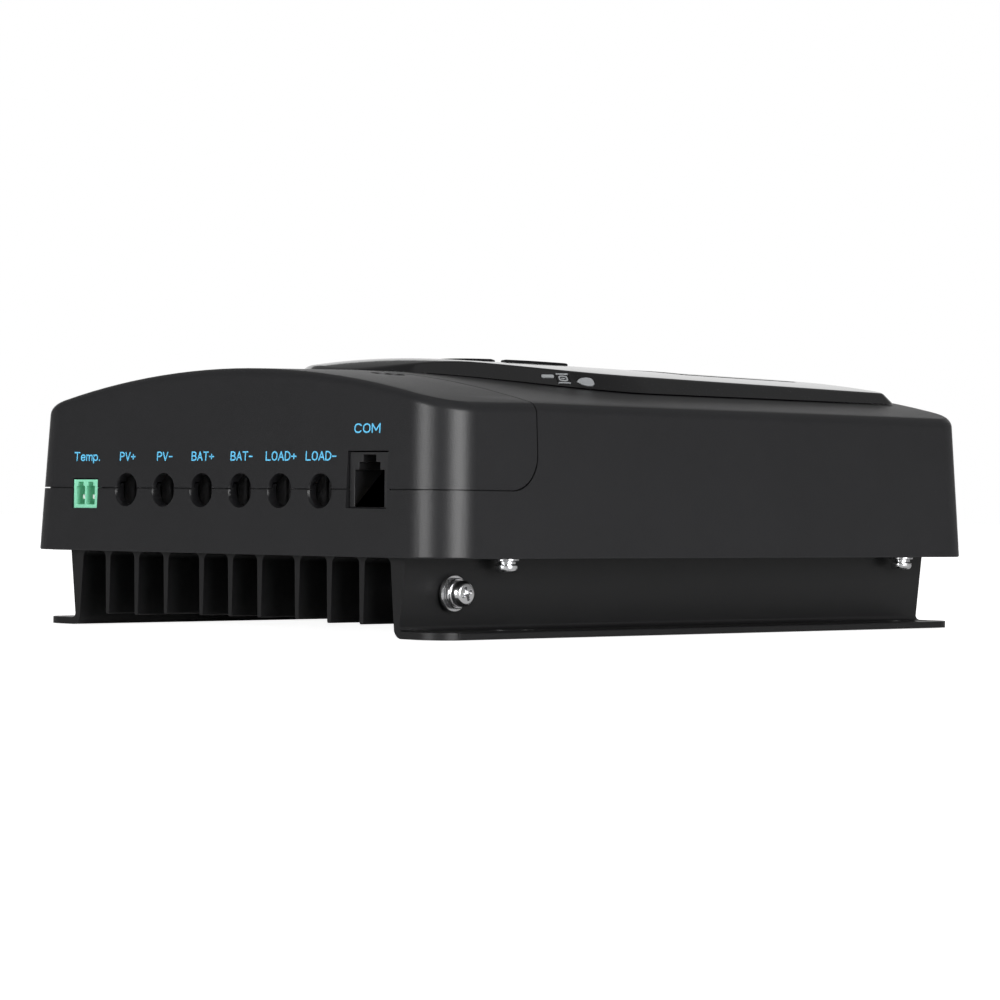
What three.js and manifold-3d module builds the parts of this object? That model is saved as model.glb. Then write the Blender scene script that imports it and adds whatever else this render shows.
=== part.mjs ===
// Solar charge controller with a finned heat sink, a lift-off terminal cover and a raised key panel.
// Millimetres. The origin is the middle of the footprint, on the undersides of the mounting flanges.
// +Z goes up through the case, +Y runs away from the wall that the cables enter, X runs across it.
import * as THREE from "three";
import { mergeVertices } from "three/addons/utils/BufferGeometryUtils.js";
import Module from "manifold-3d";

const wasm = await Module();
wasm.setup();

// ---- Driving dimensions ----

// Case, measured at its rim. Every side wall leans in by DRAFT on its way up to the shoulder.
const CASE_HALF_X = 75.5;
const CASE_HALF_Y = 100;
const CASE_CORNER = 11;
const RIM_Z = 18.7;
const SHOULDER_Z = 55.2;
const DRAFT = 1.8;
const WALL = 2.5;
const CREST_Z = 64;
const ARCH_RADIUS = 310;

// Terminal cover: its lower edge, the seam behind it and the fall of its top towards the front.
const PARTING_Z = 34.2;
const SEAM_Y = -67.5;
const SEAM_CORNER = 8.7;
const SEAM_GAP = 0.3;
const COVER_TILT = THREE.MathUtils.degToRad(1.2);
const BULKHEAD_Y = -66.9;
const POST_FOOT_Z = 46;
const POST_TOP_Z = 55.9;
const POST_RADIUS = 3.6;
const BOSS_TOP_Z = 36;
const COVER_SCREW_X = 30.5;
const COVER_SCREW_Y = -74;
const RECESS_FLOOR_Z = 58.2;

// Display panel: a round-fronted plateau with a rim that slopes at 45 degrees.
const PANEL_RADIUS = 55.2;
const PANEL_FOOT_Z = 59.2;
const PANEL_CENTRE_Y = -6.5;
const PANEL_BACK_Y = 94.6;
const PANEL_WALL = 2;
const PANEL_PEAK_Z = 67.65;
const PANEL_PEAK_Y = -11.5;
const PANEL_BACK_SLOPE = 0.0113;
const PANEL_NOSE_Y = -43;
const PANEL_NOSE_RADIUS = 29;
const HOUSING_MOUTH_INSET = 5;

// Keys: four ring sectors around one centre.
const KEY_CENTRE_Y = -5;
const KEY_INNER = 8.6;
const KEY_OUTER = 18.2;
const KEY_HALF_ANGLE = THREE.MathUtils.degToRad(40);
const KEY_PROUD = 0.75;
const KEY_FIT = 0.4;

// Display stack.
const LCD_HALF_X = 33;
const LCD_FRONT_Y = 30;
const LCD_BACK_Y = 78;
const DISPLAY_BOARD_Z = 55.6;
const BOARD = 1.6;
const LCD_MODULE_HALF_X = 31;
const LCD_MODULE_TOP_Z = 62.8;
const DISPLAY_BOARD_HALF_X = 43;
const DISPLAY_BOARD_FRONT_Y = -30;
const DISPLAY_BOARD_BACK_Y = 88;

// Front wall connections.
const POLE_COUNT = 6;
const POLE_PITCH = 14;
const POLE_X0 = -35.9;
const ENTRY_Z = 34;
const ENTRY_RADIUS = 3.9;
const JACK_X = 49.9;
const JACK_SIZE = 13.2;
const JACK_HEIGHT = 12.9;
const JACK_FOOT = 0.9;
const JACK_FACE_Y = -98.3;
const JACK_BACK_Y = -81;
const JACK_MOUTH_BACK_Y = -86;
const JACK_MOUTH_HALF_X = 4.9;
const HEADER_X = -51.7;
const HEADER_WIDTH = 9.1;
const HEADER_HEIGHT = 7.1;
const HEADER_FACE_Y = -99.1;
const HEADER_PITCH = 3.81;
const FRONT_GAP = 0.3;
const JACK_GAP = 0.15;

// Main board and the terminal block on it.
const MAIN_BOARD_Z = 27.6;
const MAIN_BOARD_HALF_X = 60;
const MAIN_BOARD_FRONT_Y = -96.2;
const MAIN_BOARD_BACK_Y = 90;
const BOARD_TOP_Z = MAIN_BOARD_Z + BOARD;
const BLOCK_FRONT_Y = -95.5;
const BLOCK_BACK_Y = -78.5;
const BLOCK_TOP_Z = 49.5;
const CLAMP_Y = -87.5;
const CELL_BACK_Y = -82.2;
const CELL_TOP_Z = 46.3;
const WELL_RADIUS = 3.9;
const CAGE_HALF_X = 4.4;
const CAGE_HALF_Y = 4.6;
const CAGE_BOTTOM_Z = 30.6;
const CAGE_TOP_Z = 41.6;
const CAGE_METAL = 1.2;
const BAR_BOTTOM_Z = 38.7;
const BAR_TOP_Z = 39.7;
const TERMINAL_HEAD_Z = 46.4;
const TERMINAL_HEAD = 2.1;

// Heat sink extrusion.
const SINK_HALF_Y = 96.5;
const PLATE_HALF_X = 67.6;
const LEDGE_X = PLATE_HALF_X + 0.3;
const LEDGE = 2;
const PLATE_BOTTOM_Z = 18.6;
const PLATE_TOP_Z = 22.5;
const FLANGE_HALF_X = 72;
const FLANGE_CORNER = 7.5;
const FLANGE = 1.7;
const FIN_X = [-45.8, -34.8, -23.7, -10.5, 0, 10.5, 23.7, 34.8, 45.8];
const SHORT_FIN_HALF_X = 24;
const SINK_SCREW_Y = -80.7;
const SINK_SCREW_Z = 10.4;
const BASE_SCREW_X = 64;
const BASE_SCREW_Y = [-67.1, 82.7];
const KEYHOLE_RADIUS = 3.7;
const KEYHOLE_SLOT_RADIUS = 2.2;
const KEYHOLE_REACH = 8;

// Facets: sides of a turned piece, and half the number of chords on each arc of an outline.
const ROUND = 16;
const SMALL_ROUND = 10;
const CORNER_SIDES = 24;
const CORNER_STEPS = 3;
const ARCH_STEPS = 8;
const PANEL_STEPS = 9;
const CROWN_STEPS = 6;
const NOSE_STEPS = 9;
const FAR = 130;

// ---- Shaping helpers ----

const AXES = {
  x: [new THREE.Vector3(0, 1, 0), new THREE.Vector3(0, 0, 1), new THREE.Vector3(1, 0, 0)],
  y: [new THREE.Vector3(1, 0, 0), new THREE.Vector3(0, 0, 1), new THREE.Vector3(0, -1, 0)],
  z: [new THREE.Vector3(1, 0, 0), new THREE.Vector3(0, 1, 0), new THREE.Vector3(0, 0, 1)],
};

function solid(geometry) {
  const bare = geometry.index ? geometry.toNonIndexed() : geometry.clone();
  bare.deleteAttribute("normal");
  bare.deleteAttribute("uv");
  const merged = mergeVertices(bare, 1e-4);
  const vertProperties = new Float32Array(merged.attributes.position.array);
  const triVerts = new Uint32Array(merged.index.array);
  return new wasm.Manifold(new wasm.Mesh({ numProp: 3, vertProperties, triVerts }));
}

function geometryOf(body) {
  const { vertProperties, triVerts } = body.getMesh();
  const geometry = new THREE.BufferGeometry();
  geometry.setAttribute("position", new THREE.BufferAttribute(vertProperties, 3));
  geometry.setIndex(new THREE.BufferAttribute(triVerts, 1));
  const flat = geometry.toNonIndexed();
  flat.computeVertexNormals();
  return flat;
}

function joined(bodies) {
  return bodies.reduce((sum, body) => sum.add(body));
}

function box(x0, x1, y0, y1, z0, z1) {
  const geometry = new THREE.BoxGeometry(x1 - x0, y1 - y0, z1 - z0);
  geometry.translate((x0 + x1) / 2, (y0 + y1) / 2, (z0 + z1) / 2);
  return solid(geometry);
}

// An outline pushed along one axis. Its own u and v are the other two axes: Y and Z for x, X and Z for y.
function prism(outline, axis, from, to, { steps = 1, curveSegments = CORNER_STEPS, bend } = {}) {
  const depth = to - from;
  const geometry = new THREE.ExtrudeGeometry(outline, { depth, steps, curveSegments, bevelEnabled: false });
  geometry.translate(0, 0, axis === "y" ? -to : from);
  geometry.applyMatrix4(new THREE.Matrix4().makeBasis(...AXES[axis]));
  return solid(bend ? bent(geometry, bend) : geometry);
}

// Moves every vertex of a geometry by a function that edits it in place.
function bent(geometry, bend) {
  const position = geometry.attributes.position;
  const point = new THREE.Vector3();
  for (let i = 0; i < position.count; i += 1) {
    point.fromBufferAttribute(position, i);
    bend(point);
    position.setXYZ(i, point.x, point.y, point.z);
  }
  return geometry;
}

function polygon(points) {
  return new THREE.Shape(points.map(([u, v]) => new THREE.Vector2(u, v)));
}

function roundedRectangle(u0, u1, v0, v1, r) {
  const shape = new THREE.Shape();
  shape.absarc(u1 - r, v0 + r, r, -Math.PI / 2, 0);
  shape.absarc(u1 - r, v1 - r, r, 0, Math.PI / 2);
  shape.absarc(u0 + r, v1 - r, r, Math.PI / 2, Math.PI);
  shape.absarc(u0 + r, v0 + r, r, Math.PI, Math.PI * 1.5);
  return shape;
}

function rod(axis, centre, from, to, radius, segments = ROUND) {
  const geometry = new THREE.CylinderGeometry(radius, radius, to - from, segments);
  geometry.translate(0, (from + to) / 2, 0);
  if (axis === "z") geometry.rotateX(Math.PI / 2);
  if (axis === "x") geometry.rotateZ(-Math.PI / 2);
  const [a, b] = centre;
  if (axis === "x") geometry.translate(0, a, b);
  if (axis === "y") geometry.translate(a, 0, b);
  if (axis === "z") geometry.translate(a, b, 0);
  return solid(geometry);
}

// A turned piece: [radius, height] pairs from the axis at the bottom round to the axis at the top.
function turned(profile, segments = ROUND) {
  const points = profile.map(([r, h]) => new THREE.Vector2(r, h));
  return new THREE.LatheGeometry(points, segments).rotateX(Math.PI / 2);
}

// ---- Outer surfaces that several pieces share ----

// The leaning outer wall of the case, moved inwards by a wall thickness.
function caseWalls(inset, z0, z1) {
  const halfX = CASE_HALF_X - inset;
  const halfY = CASE_HALF_Y - inset;
  const outline = roundedRectangle(-halfX, halfX, -halfY, halfY, CASE_CORNER - inset);
  const lean = (point) => {
    const inwards = (DRAFT * (point.z - RIM_Z)) / (SHOULDER_Z - RIM_Z);
    point.x *= 1 - inwards / halfX;
    point.y *= 1 - inwards / halfY;
  };
  return prism(outline, "z", z0, z1, { bend: lean });
}

function archOutline(crest) {
  const halfX = CASE_HALF_X + 8;
  const halfAngle = Math.asin(halfX / ARCH_RADIUS);
  const shape = new THREE.Shape();
  shape.moveTo(-halfX, 0);
  shape.lineTo(halfX, 0);
  shape.absarc(0, crest - ARCH_RADIUS, ARCH_RADIUS, Math.PI / 2 - halfAngle, Math.PI / 2 + halfAngle);
  return shape;
}

// Everything below an arched roof with the given crest height.
function underArch(crest) {
  return prism(archOutline(crest), "y", -FAR, FAR, { curveSegments: ARCH_STEPS });
}

// The same roof over the terminal cover, which falls a little towards the front from the seam.
function underCoverArch(crest) {
  const fall = (point) => {
    point.z += (point.y - SEAM_Y) * Math.tan(COVER_TILT);
  };
  const options = { curveSegments: ARCH_STEPS, bend: fall };
  return prism(archOutline(crest), "y", -FAR, FAR, options);
}

// Height of the panel's crest line, which falls gently to the back and rolls down over a nose in front.
function panelCrest(y) {
  const behind = Math.max(y - PANEL_PEAK_Y, 0);
  const ahead = Math.max(PANEL_NOSE_Y - y, 0);
  return PANEL_PEAK_Z - behind * PANEL_BACK_SLOPE - (ahead * ahead) / (2 * PANEL_NOSE_RADIUS);
}

// The same for the crowned top of the display panel, raised or lowered by an offset.
function underPanelTop(offset) {
  const crown = (point) => {
    if (point.z > 1) point.z += panelCrest(point.y) - PANEL_PEAK_Z;
  };
  const outline = archOutline(PANEL_PEAK_Z + offset);
  const stretch = (from, to, steps) => {
    return prism(outline, "y", from, to, { steps, curveSegments: ARCH_STEPS, bend: crown });
  };
  const nose = stretch(PANEL_NOSE_Y - 27, PANEL_NOSE_Y + 1, NOSE_STEPS);
  return nose.add(stretch(PANEL_NOSE_Y, PANEL_BACK_Y + 6, CROWN_STEPS));
}

// The panel's plan: straight sides and back, and a half-round front. It narrows by 1 mm for every 1 mm up.
function panelRim(inset, z0, z1) {
  const radius = PANEL_RADIUS - inset;
  const back = PANEL_BACK_Y - inset;
  const corner = 7;
  const outline = new THREE.Shape();
  outline.absarc(0, PANEL_CENTRE_Y, radius, Math.PI, Math.PI * 2);
  outline.absarc(radius - corner, back - corner, corner, 0, Math.PI / 2);
  outline.absarc(corner - radius, back - corner, corner, Math.PI / 2, Math.PI);
  const lean = (point) => {
    const inwards = point.z - PANEL_FOOT_Z;
    const along = point.y - PANEL_CENTRE_Y;
    const reach = along > 0 ? back - PANEL_CENTRE_Y : radius;
    point.x *= 1 - inwards / radius;
    point.y = PANEL_CENTRE_Y + along * (1 - inwards / reach);
  };
  return prism(outline, "z", z0, z1, { curveSegments: PANEL_STEPS, bend: lean });
}

// The plan of the opening in the roof of the case, upright walls under the panel's rim.
function roofMouth(inset, z0, z1) {
  const radius = PANEL_RADIUS - inset;
  const outline = new THREE.Shape();
  outline.absarc(0, PANEL_CENTRE_Y, radius, Math.PI, Math.PI * 2);
  outline.lineTo(radius, PANEL_BACK_Y - inset);
  outline.lineTo(-radius, PANEL_BACK_Y - inset);
  return prism(outline, "z", z0, z1, { curveSegments: PANEL_STEPS });
}

// A ring sector round the key centre, opening towards the given angle.
function keySector(angle, inner, outer, halfAngle, z0, z1) {
  const outline = new THREE.Shape();
  outline.absarc(0, 0, outer, angle - halfAngle, angle + halfAngle);
  outline.absarc(0, 0, inner, angle + halfAngle, angle - halfAngle, true);
  return prism(outline, "z", z0, z1).translate([0, KEY_CENTRE_Y, 0]);
}

function poleX(index) {
  return POLE_X0 + index * POLE_PITCH;
}

// ---- Materials ----

function finish(color, roughness, metalness) {
  return () => new THREE.MeshStandardMaterial({ color, roughness, metalness });
}

const charcoalPlastic = finish(0x2c2c2e, 0.6, 0);
const glossBlack = finish(0x101012, 0.12, 0);
const blackAluminium = finish(0x161617, 0.55, 0.4);
const steel = finish(0xc2c4c6, 0.3, 1);
const brass = finish(0xc9a45c, 0.35, 1);
const copper = finish(0xb87a50, 0.35, 1);
const greenPlastic = finish(0x4fae74, 0.5, 0);
const blackPlastic = finish(0x151515, 0.5, 0);
const boardGreen = finish(0x1d5b3a, 0.45, 0);
const lampGrey = finish(0xb4b7ba, 0.35, 0);
const clearLens = finish(0x20252a, 0.05, 0);
const lcdGlass = finish(0x8a9a86, 0.2, 0);
const silicone = finish(0x55585c, 0.8, 0);
const ferrite = finish(0x3d3f42, 0.7, 0.1);
const sleeveBlue = finish(0x27356b, 0.4, 0);
const nylon = finish(0xe4e2da, 0.5, 0);
const ribbonGrey = finish(0x9a9c9f, 0.6, 0);

// ---- Case ----

function frontCuts() {
  const poles = Array.from({ length: POLE_COUNT }, (_, i) => i);
  const entries = poles.map((i) => {
    return rod("y", [poleX(i), ENTRY_Z], -FAR, BLOCK_FRONT_Y, ENTRY_RADIUS);
  });
  const jack = JACK_SIZE / 2 + JACK_GAP;
  const header = HEADER_WIDTH / 2 + FRONT_GAP;
  const jackFloor = BOARD_TOP_Z + JACK_FOOT - JACK_GAP;
  const jackTop = BOARD_TOP_Z + JACK_FOOT + JACK_HEIGHT + FRONT_GAP;
  const jackCut = box(JACK_X - jack, JACK_X + jack, -FAR, -90, jackFloor, jackTop);
  const headerTop = BOARD_TOP_Z + HEADER_HEIGHT + 2 * FRONT_GAP;
  const headerCut = box(HEADER_X - header, HEADER_X + header, -FAR, -90, BOARD_TOP_Z, headerTop);
  return joined([...entries, jackCut, headerCut]);
}

// The space in front of the seam and above the parting line, whose lower back corner is round.
function coverSpace(gap) {
  const back = SEAM_Y - gap;
  const floor = PARTING_Z + gap;
  const side = new THREE.Shape();
  side.moveTo(-FAR, FAR);
  side.lineTo(-FAR, floor);
  side.absarc(back - SEAM_CORNER, floor + SEAM_CORNER, SEAM_CORNER, -Math.PI / 2, 0);
  side.lineTo(back, FAR);
  return prism(side, "x", -FAR, FAR);
}

function coverScrewSpots(make) {
  return joined([-COVER_SCREW_X, COVER_SCREW_X].map((x) => make(x)));
}

function caseSolid(inset, roof) {
  const bottom = inset > 0 ? RIM_Z - 1 : RIM_Z;
  return caseWalls(inset, bottom, CREST_Z + 2).intersect(roof(CREST_Z - inset));
}

// A post on the bulkhead that a cover screw goes into.
function coverPost(x) {
  const web = box(x - 1.5, x + 1.5, COVER_SCREW_Y, BULKHEAD_Y + 1, POST_FOOT_Z, POST_TOP_Z);
  return rod("z", [x, COVER_SCREW_Y], POST_FOOT_Z, POST_TOP_Z, POST_RADIUS).add(web);
}

// A boss in the corner of the case, tied to the side wall, that a base screw goes into.
function baseBoss(x, y) {
  const low = PLATE_TOP_Z + 0.3;
  const wallX = Math.sign(x) * (CASE_HALF_X - 1);
  const lug = box(Math.min(x, wallX), Math.max(x, wallX), y - 1.5, y + 1.5, low, BOSS_TOP_Z);
  return rod("z", [x, y], low, BOSS_TOP_Z, POST_RADIUS, SMALL_ROUND).add(lug);
}

function mainHousing() {
  const baseScrews = BASE_SCREW_Y.flatMap((y) => [-1, 1].map((side) => [side * BASE_SCREW_X, y]));
  const bulkhead = box(-FAR, FAR, BULKHEAD_Y, BULKHEAD_Y + WALL, BOARD_TOP_Z + 1.3, FAR);
  const posts = coverScrewSpots(coverPost);
  const bosses = joined(baseScrews.map(([x, y]) => baseBoss(x, y)));
  const postBores = coverScrewSpots((x) => {
    return rod("z", [x, COVER_SCREW_Y], POST_FOOT_Z + 1.5, 60, 1.65, SMALL_ROUND);
  });
  const bossBores = joined(baseScrews.map(([x, y]) => rod("z", [x, y], 20, 33, 1.4, SMALL_ROUND)));
  const ledges = [-1, 1].map((side) => {
    const [x0, x1] = side < 0 ? [-FAR, -LEDGE_X] : [LEDGE_X, FAR];
    return box(x0, x1, -FAR, FAR, RIM_Z - 1, RIM_Z + LEDGE);
  });
  const hollow = caseSolid(WALL, underArch).subtract(joined([bulkhead, posts, bosses, ...ledges]));
  return caseSolid(0, underArch)
    .subtract(hollow)
    .subtract(coverSpace(0).subtract(posts))
    .subtract(joined([postBores, bossBores]))
    .subtract(roofMouth(HOUSING_MOUTH_INSET, CREST_Z - 9, FAR))
    .subtract(frontCuts());
}

function terminalCover() {
  const cups = coverScrewSpots((x) => rod("z", [x, COVER_SCREW_Y], RECESS_FLOOR_Z - 2, FAR, 5.8));
  const wells = coverScrewSpots((x) => rod("z", [x, COVER_SCREW_Y], RECESS_FLOOR_Z, FAR, 4.2));
  const holes = coverScrewSpots((x) => rod("z", [x, COVER_SCREW_Y], 50, FAR, 1.8, SMALL_ROUND));
  return caseSolid(0, underCoverArch)
    .intersect(coverSpace(SEAM_GAP))
    .subtract(caseSolid(WALL, underCoverArch).subtract(cups))
    .subtract(joined([wells, holes]))
    .subtract(frontCuts());
}

// ---- Heat sink ----

function finProfile(x) {
  const short = Math.abs(x) < SHORT_FIN_HALF_X;
  const tip = short ? 3.6 : 3;
  return polygon([
    [x - 0.6, tip],
    [x + 0.6, tip],
    [x + 0.9, PLATE_BOTTOM_Z + 0.5],
    [x - 0.9, PLATE_BOTTOM_Z + 0.5],
  ]);
}

// A side wall that thickens upwards, with a round heel, and the mounting flange on its foot.
function sinkSide(side) {
  const wall = polygon(
    [
      [56.6, 2.5],
      [57.3, 0.7],
      [59.1, 0],
      [FLANGE_HALF_X, 0],
      [FLANGE_HALF_X, FLANGE],
      [59.4, FLANGE],
      [58.4, 2.6],
      [60.2, PLATE_BOTTOM_Z + 0.5],
      [55.4, PLATE_BOTTOM_Z + 0.5],
    ].map(([x, z]) => [side * x, z]),
  );
  return prism(wall, "y", -SINK_HALF_Y, SINK_HALF_Y);
}

// What comes off one corner of a flange to leave it round in plan.
function flangeCorner(sideX, sideY) {
  const x = sideX * (FLANGE_HALF_X - FLANGE_CORNER);
  const y = sideY * (SINK_HALF_Y - FLANGE_CORNER);
  const endX = x + sideX * (FLANGE_CORNER + 1);
  const endY = y + sideY * (FLANGE_CORNER + 1);
  const [x0, x1] = [Math.min(x, endX), Math.max(x, endX)];
  const [y0, y1] = [Math.min(y, endY), Math.max(y, endY)];
  const square = box(x0, x1, y0, y1, -1, FLANGE + 1);
  return square.subtract(rod("z", [x, y], -2, FLANGE + 2, FLANGE_CORNER, CORNER_SIDES));
}

// A keyhole slot under each base screw: the round hole lets a driver or a screw head through, and the
// narrower slot holds the shank of a wall screw.
function keyhole(x, y) {
  const half = KEYHOLE_SLOT_RADIUS;
  const slot = box(x - half, x + half, y, y + KEYHOLE_REACH, -1, FLANGE + 1);
  const top = rod("z", [x, y + KEYHOLE_REACH], -1, FLANGE + 1, half, SMALL_ROUND);
  return joined([rod("z", [x, y], -1, FLANGE + 1, KEYHOLE_RADIUS), slot, top]);
}

function heatSink() {
  const plate = box(-PLATE_HALF_X, PLATE_HALF_X, -SINK_HALF_Y, SINK_HALF_Y, PLATE_BOTTOM_Z, PLATE_TOP_Z);
  const fins = FIN_X.map((x) => prism(finProfile(x), "y", -SINK_HALF_Y, SINK_HALF_Y));
  const corners = BASE_SCREW_Y.flatMap((y) => [-1, 1].map((side) => [side * BASE_SCREW_X, y]));
  const keyholes = corners.map(([x, y]) => keyhole(x, y));
  const flangeCorners = corners.map(([x, y]) => flangeCorner(Math.sign(x), Math.sign(y)));
  const screwHoles = corners.map(([x, y]) => rod("z", [x, y], 15, 25, 1.6, SMALL_ROUND));
  const groundHole = rod("x", [SINK_SCREW_Y, SINK_SCREW_Z], 50, 65, 2.2, SMALL_ROUND);
  return joined([plate, ...fins, sinkSide(-1), sinkSide(1)])
    .subtract(joined([...keyholes, ...screwHoles, ...flangeCorners]))
    .subtract(groundHole);
}

// ---- Display panel and what it carries ----

const KEY_ANGLES = { key_up: 90, key_back: 180, key_down: 270, key_enter: 0 };
// The lamps follow the rim: their angle round it, the height of their middle, and their half sizes.
const LAMPS = {
  lamp_solar: { angle: -30.8, z: 62.75, halfLength: 1.6, halfWidth: 0.5 },
  lamp_battery: { angle: -26.6, z: 62.2, halfLength: 1.6, halfWidth: 1.8 },
  lamp_load: { angle: -20.4, z: 61.55, halfLength: 2.3, halfWidth: 1.45 },
};
const LAMP_FIT = 0.3;
const HEAT_STAKES = [-1, 1].flatMap((side) => [[side * 38, -20], [side * 38, 84]]);

// A lamp lens: a short bar that stands square on the sloping rim and ends just proud of it.
function lampLens({ angle, z, halfLength, halfWidth }, fit, from, to) {
  const u = halfLength + fit;
  const v = halfWidth + fit;
  const radius = PANEL_RADIUS - (z - PANEL_FOOT_Z);
  const place = new THREE.Matrix4().makeTranslation(0, PANEL_CENTRE_Y, 0);
  place.multiply(new THREE.Matrix4().makeRotationZ(THREE.MathUtils.degToRad(angle)));
  place.multiply(new THREE.Matrix4().makeTranslation(radius, 0, z));
  place.multiply(new THREE.Matrix4().makeRotationY(-Math.PI / 4));
  return box(from, to, -u, u, -v, v).transform(place.elements);
}

function lcdOpening(inset, z0, z1) {
  const halfX = LCD_HALF_X - inset;
  const outline = roundedRectangle(-halfX, halfX, LCD_FRONT_Y + inset, LCD_BACK_Y - inset, 2.5);
  return prism(outline, "z", z0, z1, { curveSegments: 2 });
}

function displayPanel() {
  const outer = panelRim(0, 56, 70).intersect(underPanelTop(0));
  const inner = panelRim(PANEL_WALL * Math.SQRT2, 55, 70).intersect(underPanelTop(-PANEL_WALL));
  const keyMouths = Object.values(KEY_ANGLES).map((degrees) => {
    const angle = THREE.MathUtils.degToRad(degrees);
    const wider = KEY_HALF_ANGLE + KEY_FIT / KEY_OUTER;
    return keySector(angle, KEY_INNER - KEY_FIT, KEY_OUTER + KEY_FIT, wider, 60, 75);
  });
  const lampMouths = Object.values(LAMPS).map((lamp) => lampLens(lamp, LAMP_FIT, -6, 3));
  const stakes = HEAT_STAKES.map(([x, y]) => {
    const post = rod("z", [x, y], DISPLAY_BOARD_Z + BOARD + 0.2, 66, 2.5, SMALL_ROUND);
    return post.add(rod("z", [x, y], DISPLAY_BOARD_Z - 0.8, 60, 1.2, SMALL_ROUND));
  });
  return outer
    .subtract(inner)
    .subtract(underArch(CREST_Z + 0.1))
    .add(joined(stakes).intersect(underPanelTop(-PANEL_WALL / 2)))
    .subtract(joined([...keyMouths, ...lampMouths, lcdOpening(0, 55, 75)]));
}

function lcdWindow() {
  return lcdOpening(0.3, 60, 75).intersect(underPanelTop(0.4)).subtract(underPanelTop(-1.6));
}

function key(degrees) {
  const angle = THREE.MathUtils.degToRad(degrees);
  const cap = keySector(angle, KEY_INNER, KEY_OUTER, KEY_HALF_ANGLE, 63.2, 75);
  const flange = keySector(angle, KEY_INNER - 1, KEY_OUTER + 1, KEY_HALF_ANGLE, 63.2, 64.4);
  const stem = keySector(angle, KEY_INNER + 2, KEY_OUTER - 2, KEY_HALF_ANGLE - 0.15, 61.2, 63.4);
  return joined([cap.intersect(underPanelTop(KEY_PROUD)), flange, stem]);
}

function keyMat() {
  const floor = DISPLAY_BOARD_Z + BOARD + 0.1;
  const sheet = rod("z", [0, KEY_CENTRE_Y], floor, floor + 1, 19);
  const pads = Object.values(KEY_ANGLES).map((degrees) => {
    const angle = THREE.MathUtils.degToRad(degrees);
    return keySector(angle, KEY_INNER + 2.5, KEY_OUTER - 2.5, KEY_HALF_ANGLE - 0.3, floor, 60.5);
  });
  return joined([sheet, ...pads]).subtract(rod("z", [0, KEY_CENTRE_Y], 50, 70, 5));
}

function displayBoard() {
  const half = DISPLAY_BOARD_HALF_X;
  const plan = roundedRectangle(-half, half, DISPLAY_BOARD_FRONT_Y, DISPLAY_BOARD_BACK_Y, 3);
  const holes = HEAT_STAKES.map(([x, y]) => rod("z", [x, y], 50, 60, 1.5, SMALL_ROUND));
  return prism(plan, "z", DISPLAY_BOARD_Z, DISPLAY_BOARD_Z + BOARD).subtract(joined(holes));
}

// ---- Main board ----

const STANDOFFS = [[-56, -60], [56, -60], [-56, 82], [56, 82]];

function mainBoard() {
  const half = MAIN_BOARD_HALF_X;
  const plate = box(-half, half, MAIN_BOARD_FRONT_Y, MAIN_BOARD_BACK_Y, MAIN_BOARD_Z, BOARD_TOP_Z);
  return plate.subtract(joined(STANDOFFS.map(([x, y]) => rod("z", [x, y], 20, 35, 1.8, SMALL_ROUND))));
}

// A snap-in spacer: a foot on the heat sink and a pin with a barb through the board.
function standoff() {
  const top = BOARD_TOP_Z;
  return turned(
    [
      [0, PLATE_TOP_Z + 0.1],
      [3.5, PLATE_TOP_Z + 0.1],
      [3, MAIN_BOARD_Z - 0.1],
      [1.5, MAIN_BOARD_Z - 0.1],
      [1.5, top + 0.2],
      [2.1, top + 0.4],
      [0.8, top + 2.6],
      [0, top + 2.6],
    ],
    SMALL_ROUND,
  );
}

function capacitor() {
  return turned([
    [0, 0],
    [7.6, 0],
    [8, 0.5],
    [8, 1.6],
    [7.5, 2.1],
    [7.5, 2.5],
    [8, 3],
    [8, 24],
    [7.3, 24.7],
    [0, 24.7],
  ]);
}

function storageInductor() {
  const profile = roundedRectangle(9, 21, 0, 15, 3).getPoints(1);
  profile.push(profile[0].clone());
  return new THREE.LatheGeometry(profile, ROUND).rotateX(Math.PI / 2);
}

function transistor() {
  const body = box(-8, 8, -10, 10, 0, 4.2);
  const legs = [-4, 0, 4].map((x) => box(x - 0.6, x + 0.6, 9, 15, 2.4, 3.2));
  return joined([body, ...legs]).subtract(rod("z", [0, -6], -1, 5, 1.8, SMALL_ROUND));
}

// Flat cable from the main board up to the display board, with a plug moulded on each end.
function ribbonCable() {
  const side = new THREE.Shape();
  const low = BOARD_TOP_Z + 3;
  const high = DISPLAY_BOARD_Z - 3;
  side.moveTo(70, low);
  side.bezierCurveTo(70, low + 12, 62, high - 12, 62, high);
  side.lineTo(62.8, high);
  side.bezierCurveTo(62.8, high - 12, 70.8, low + 12, 70.8, low);
  const strip = prism(side, "x", -9, 9);
  const lower = box(-11, 11, 68, 73, BOARD_TOP_Z + 0.1, low + 1);
  const upper = box(-11, 11, 60, 65, high - 1, DISPLAY_BOARD_Z - 0.1);
  return joined([strip, lower, upper]);
}

// ---- Terminals and sockets ----

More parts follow.
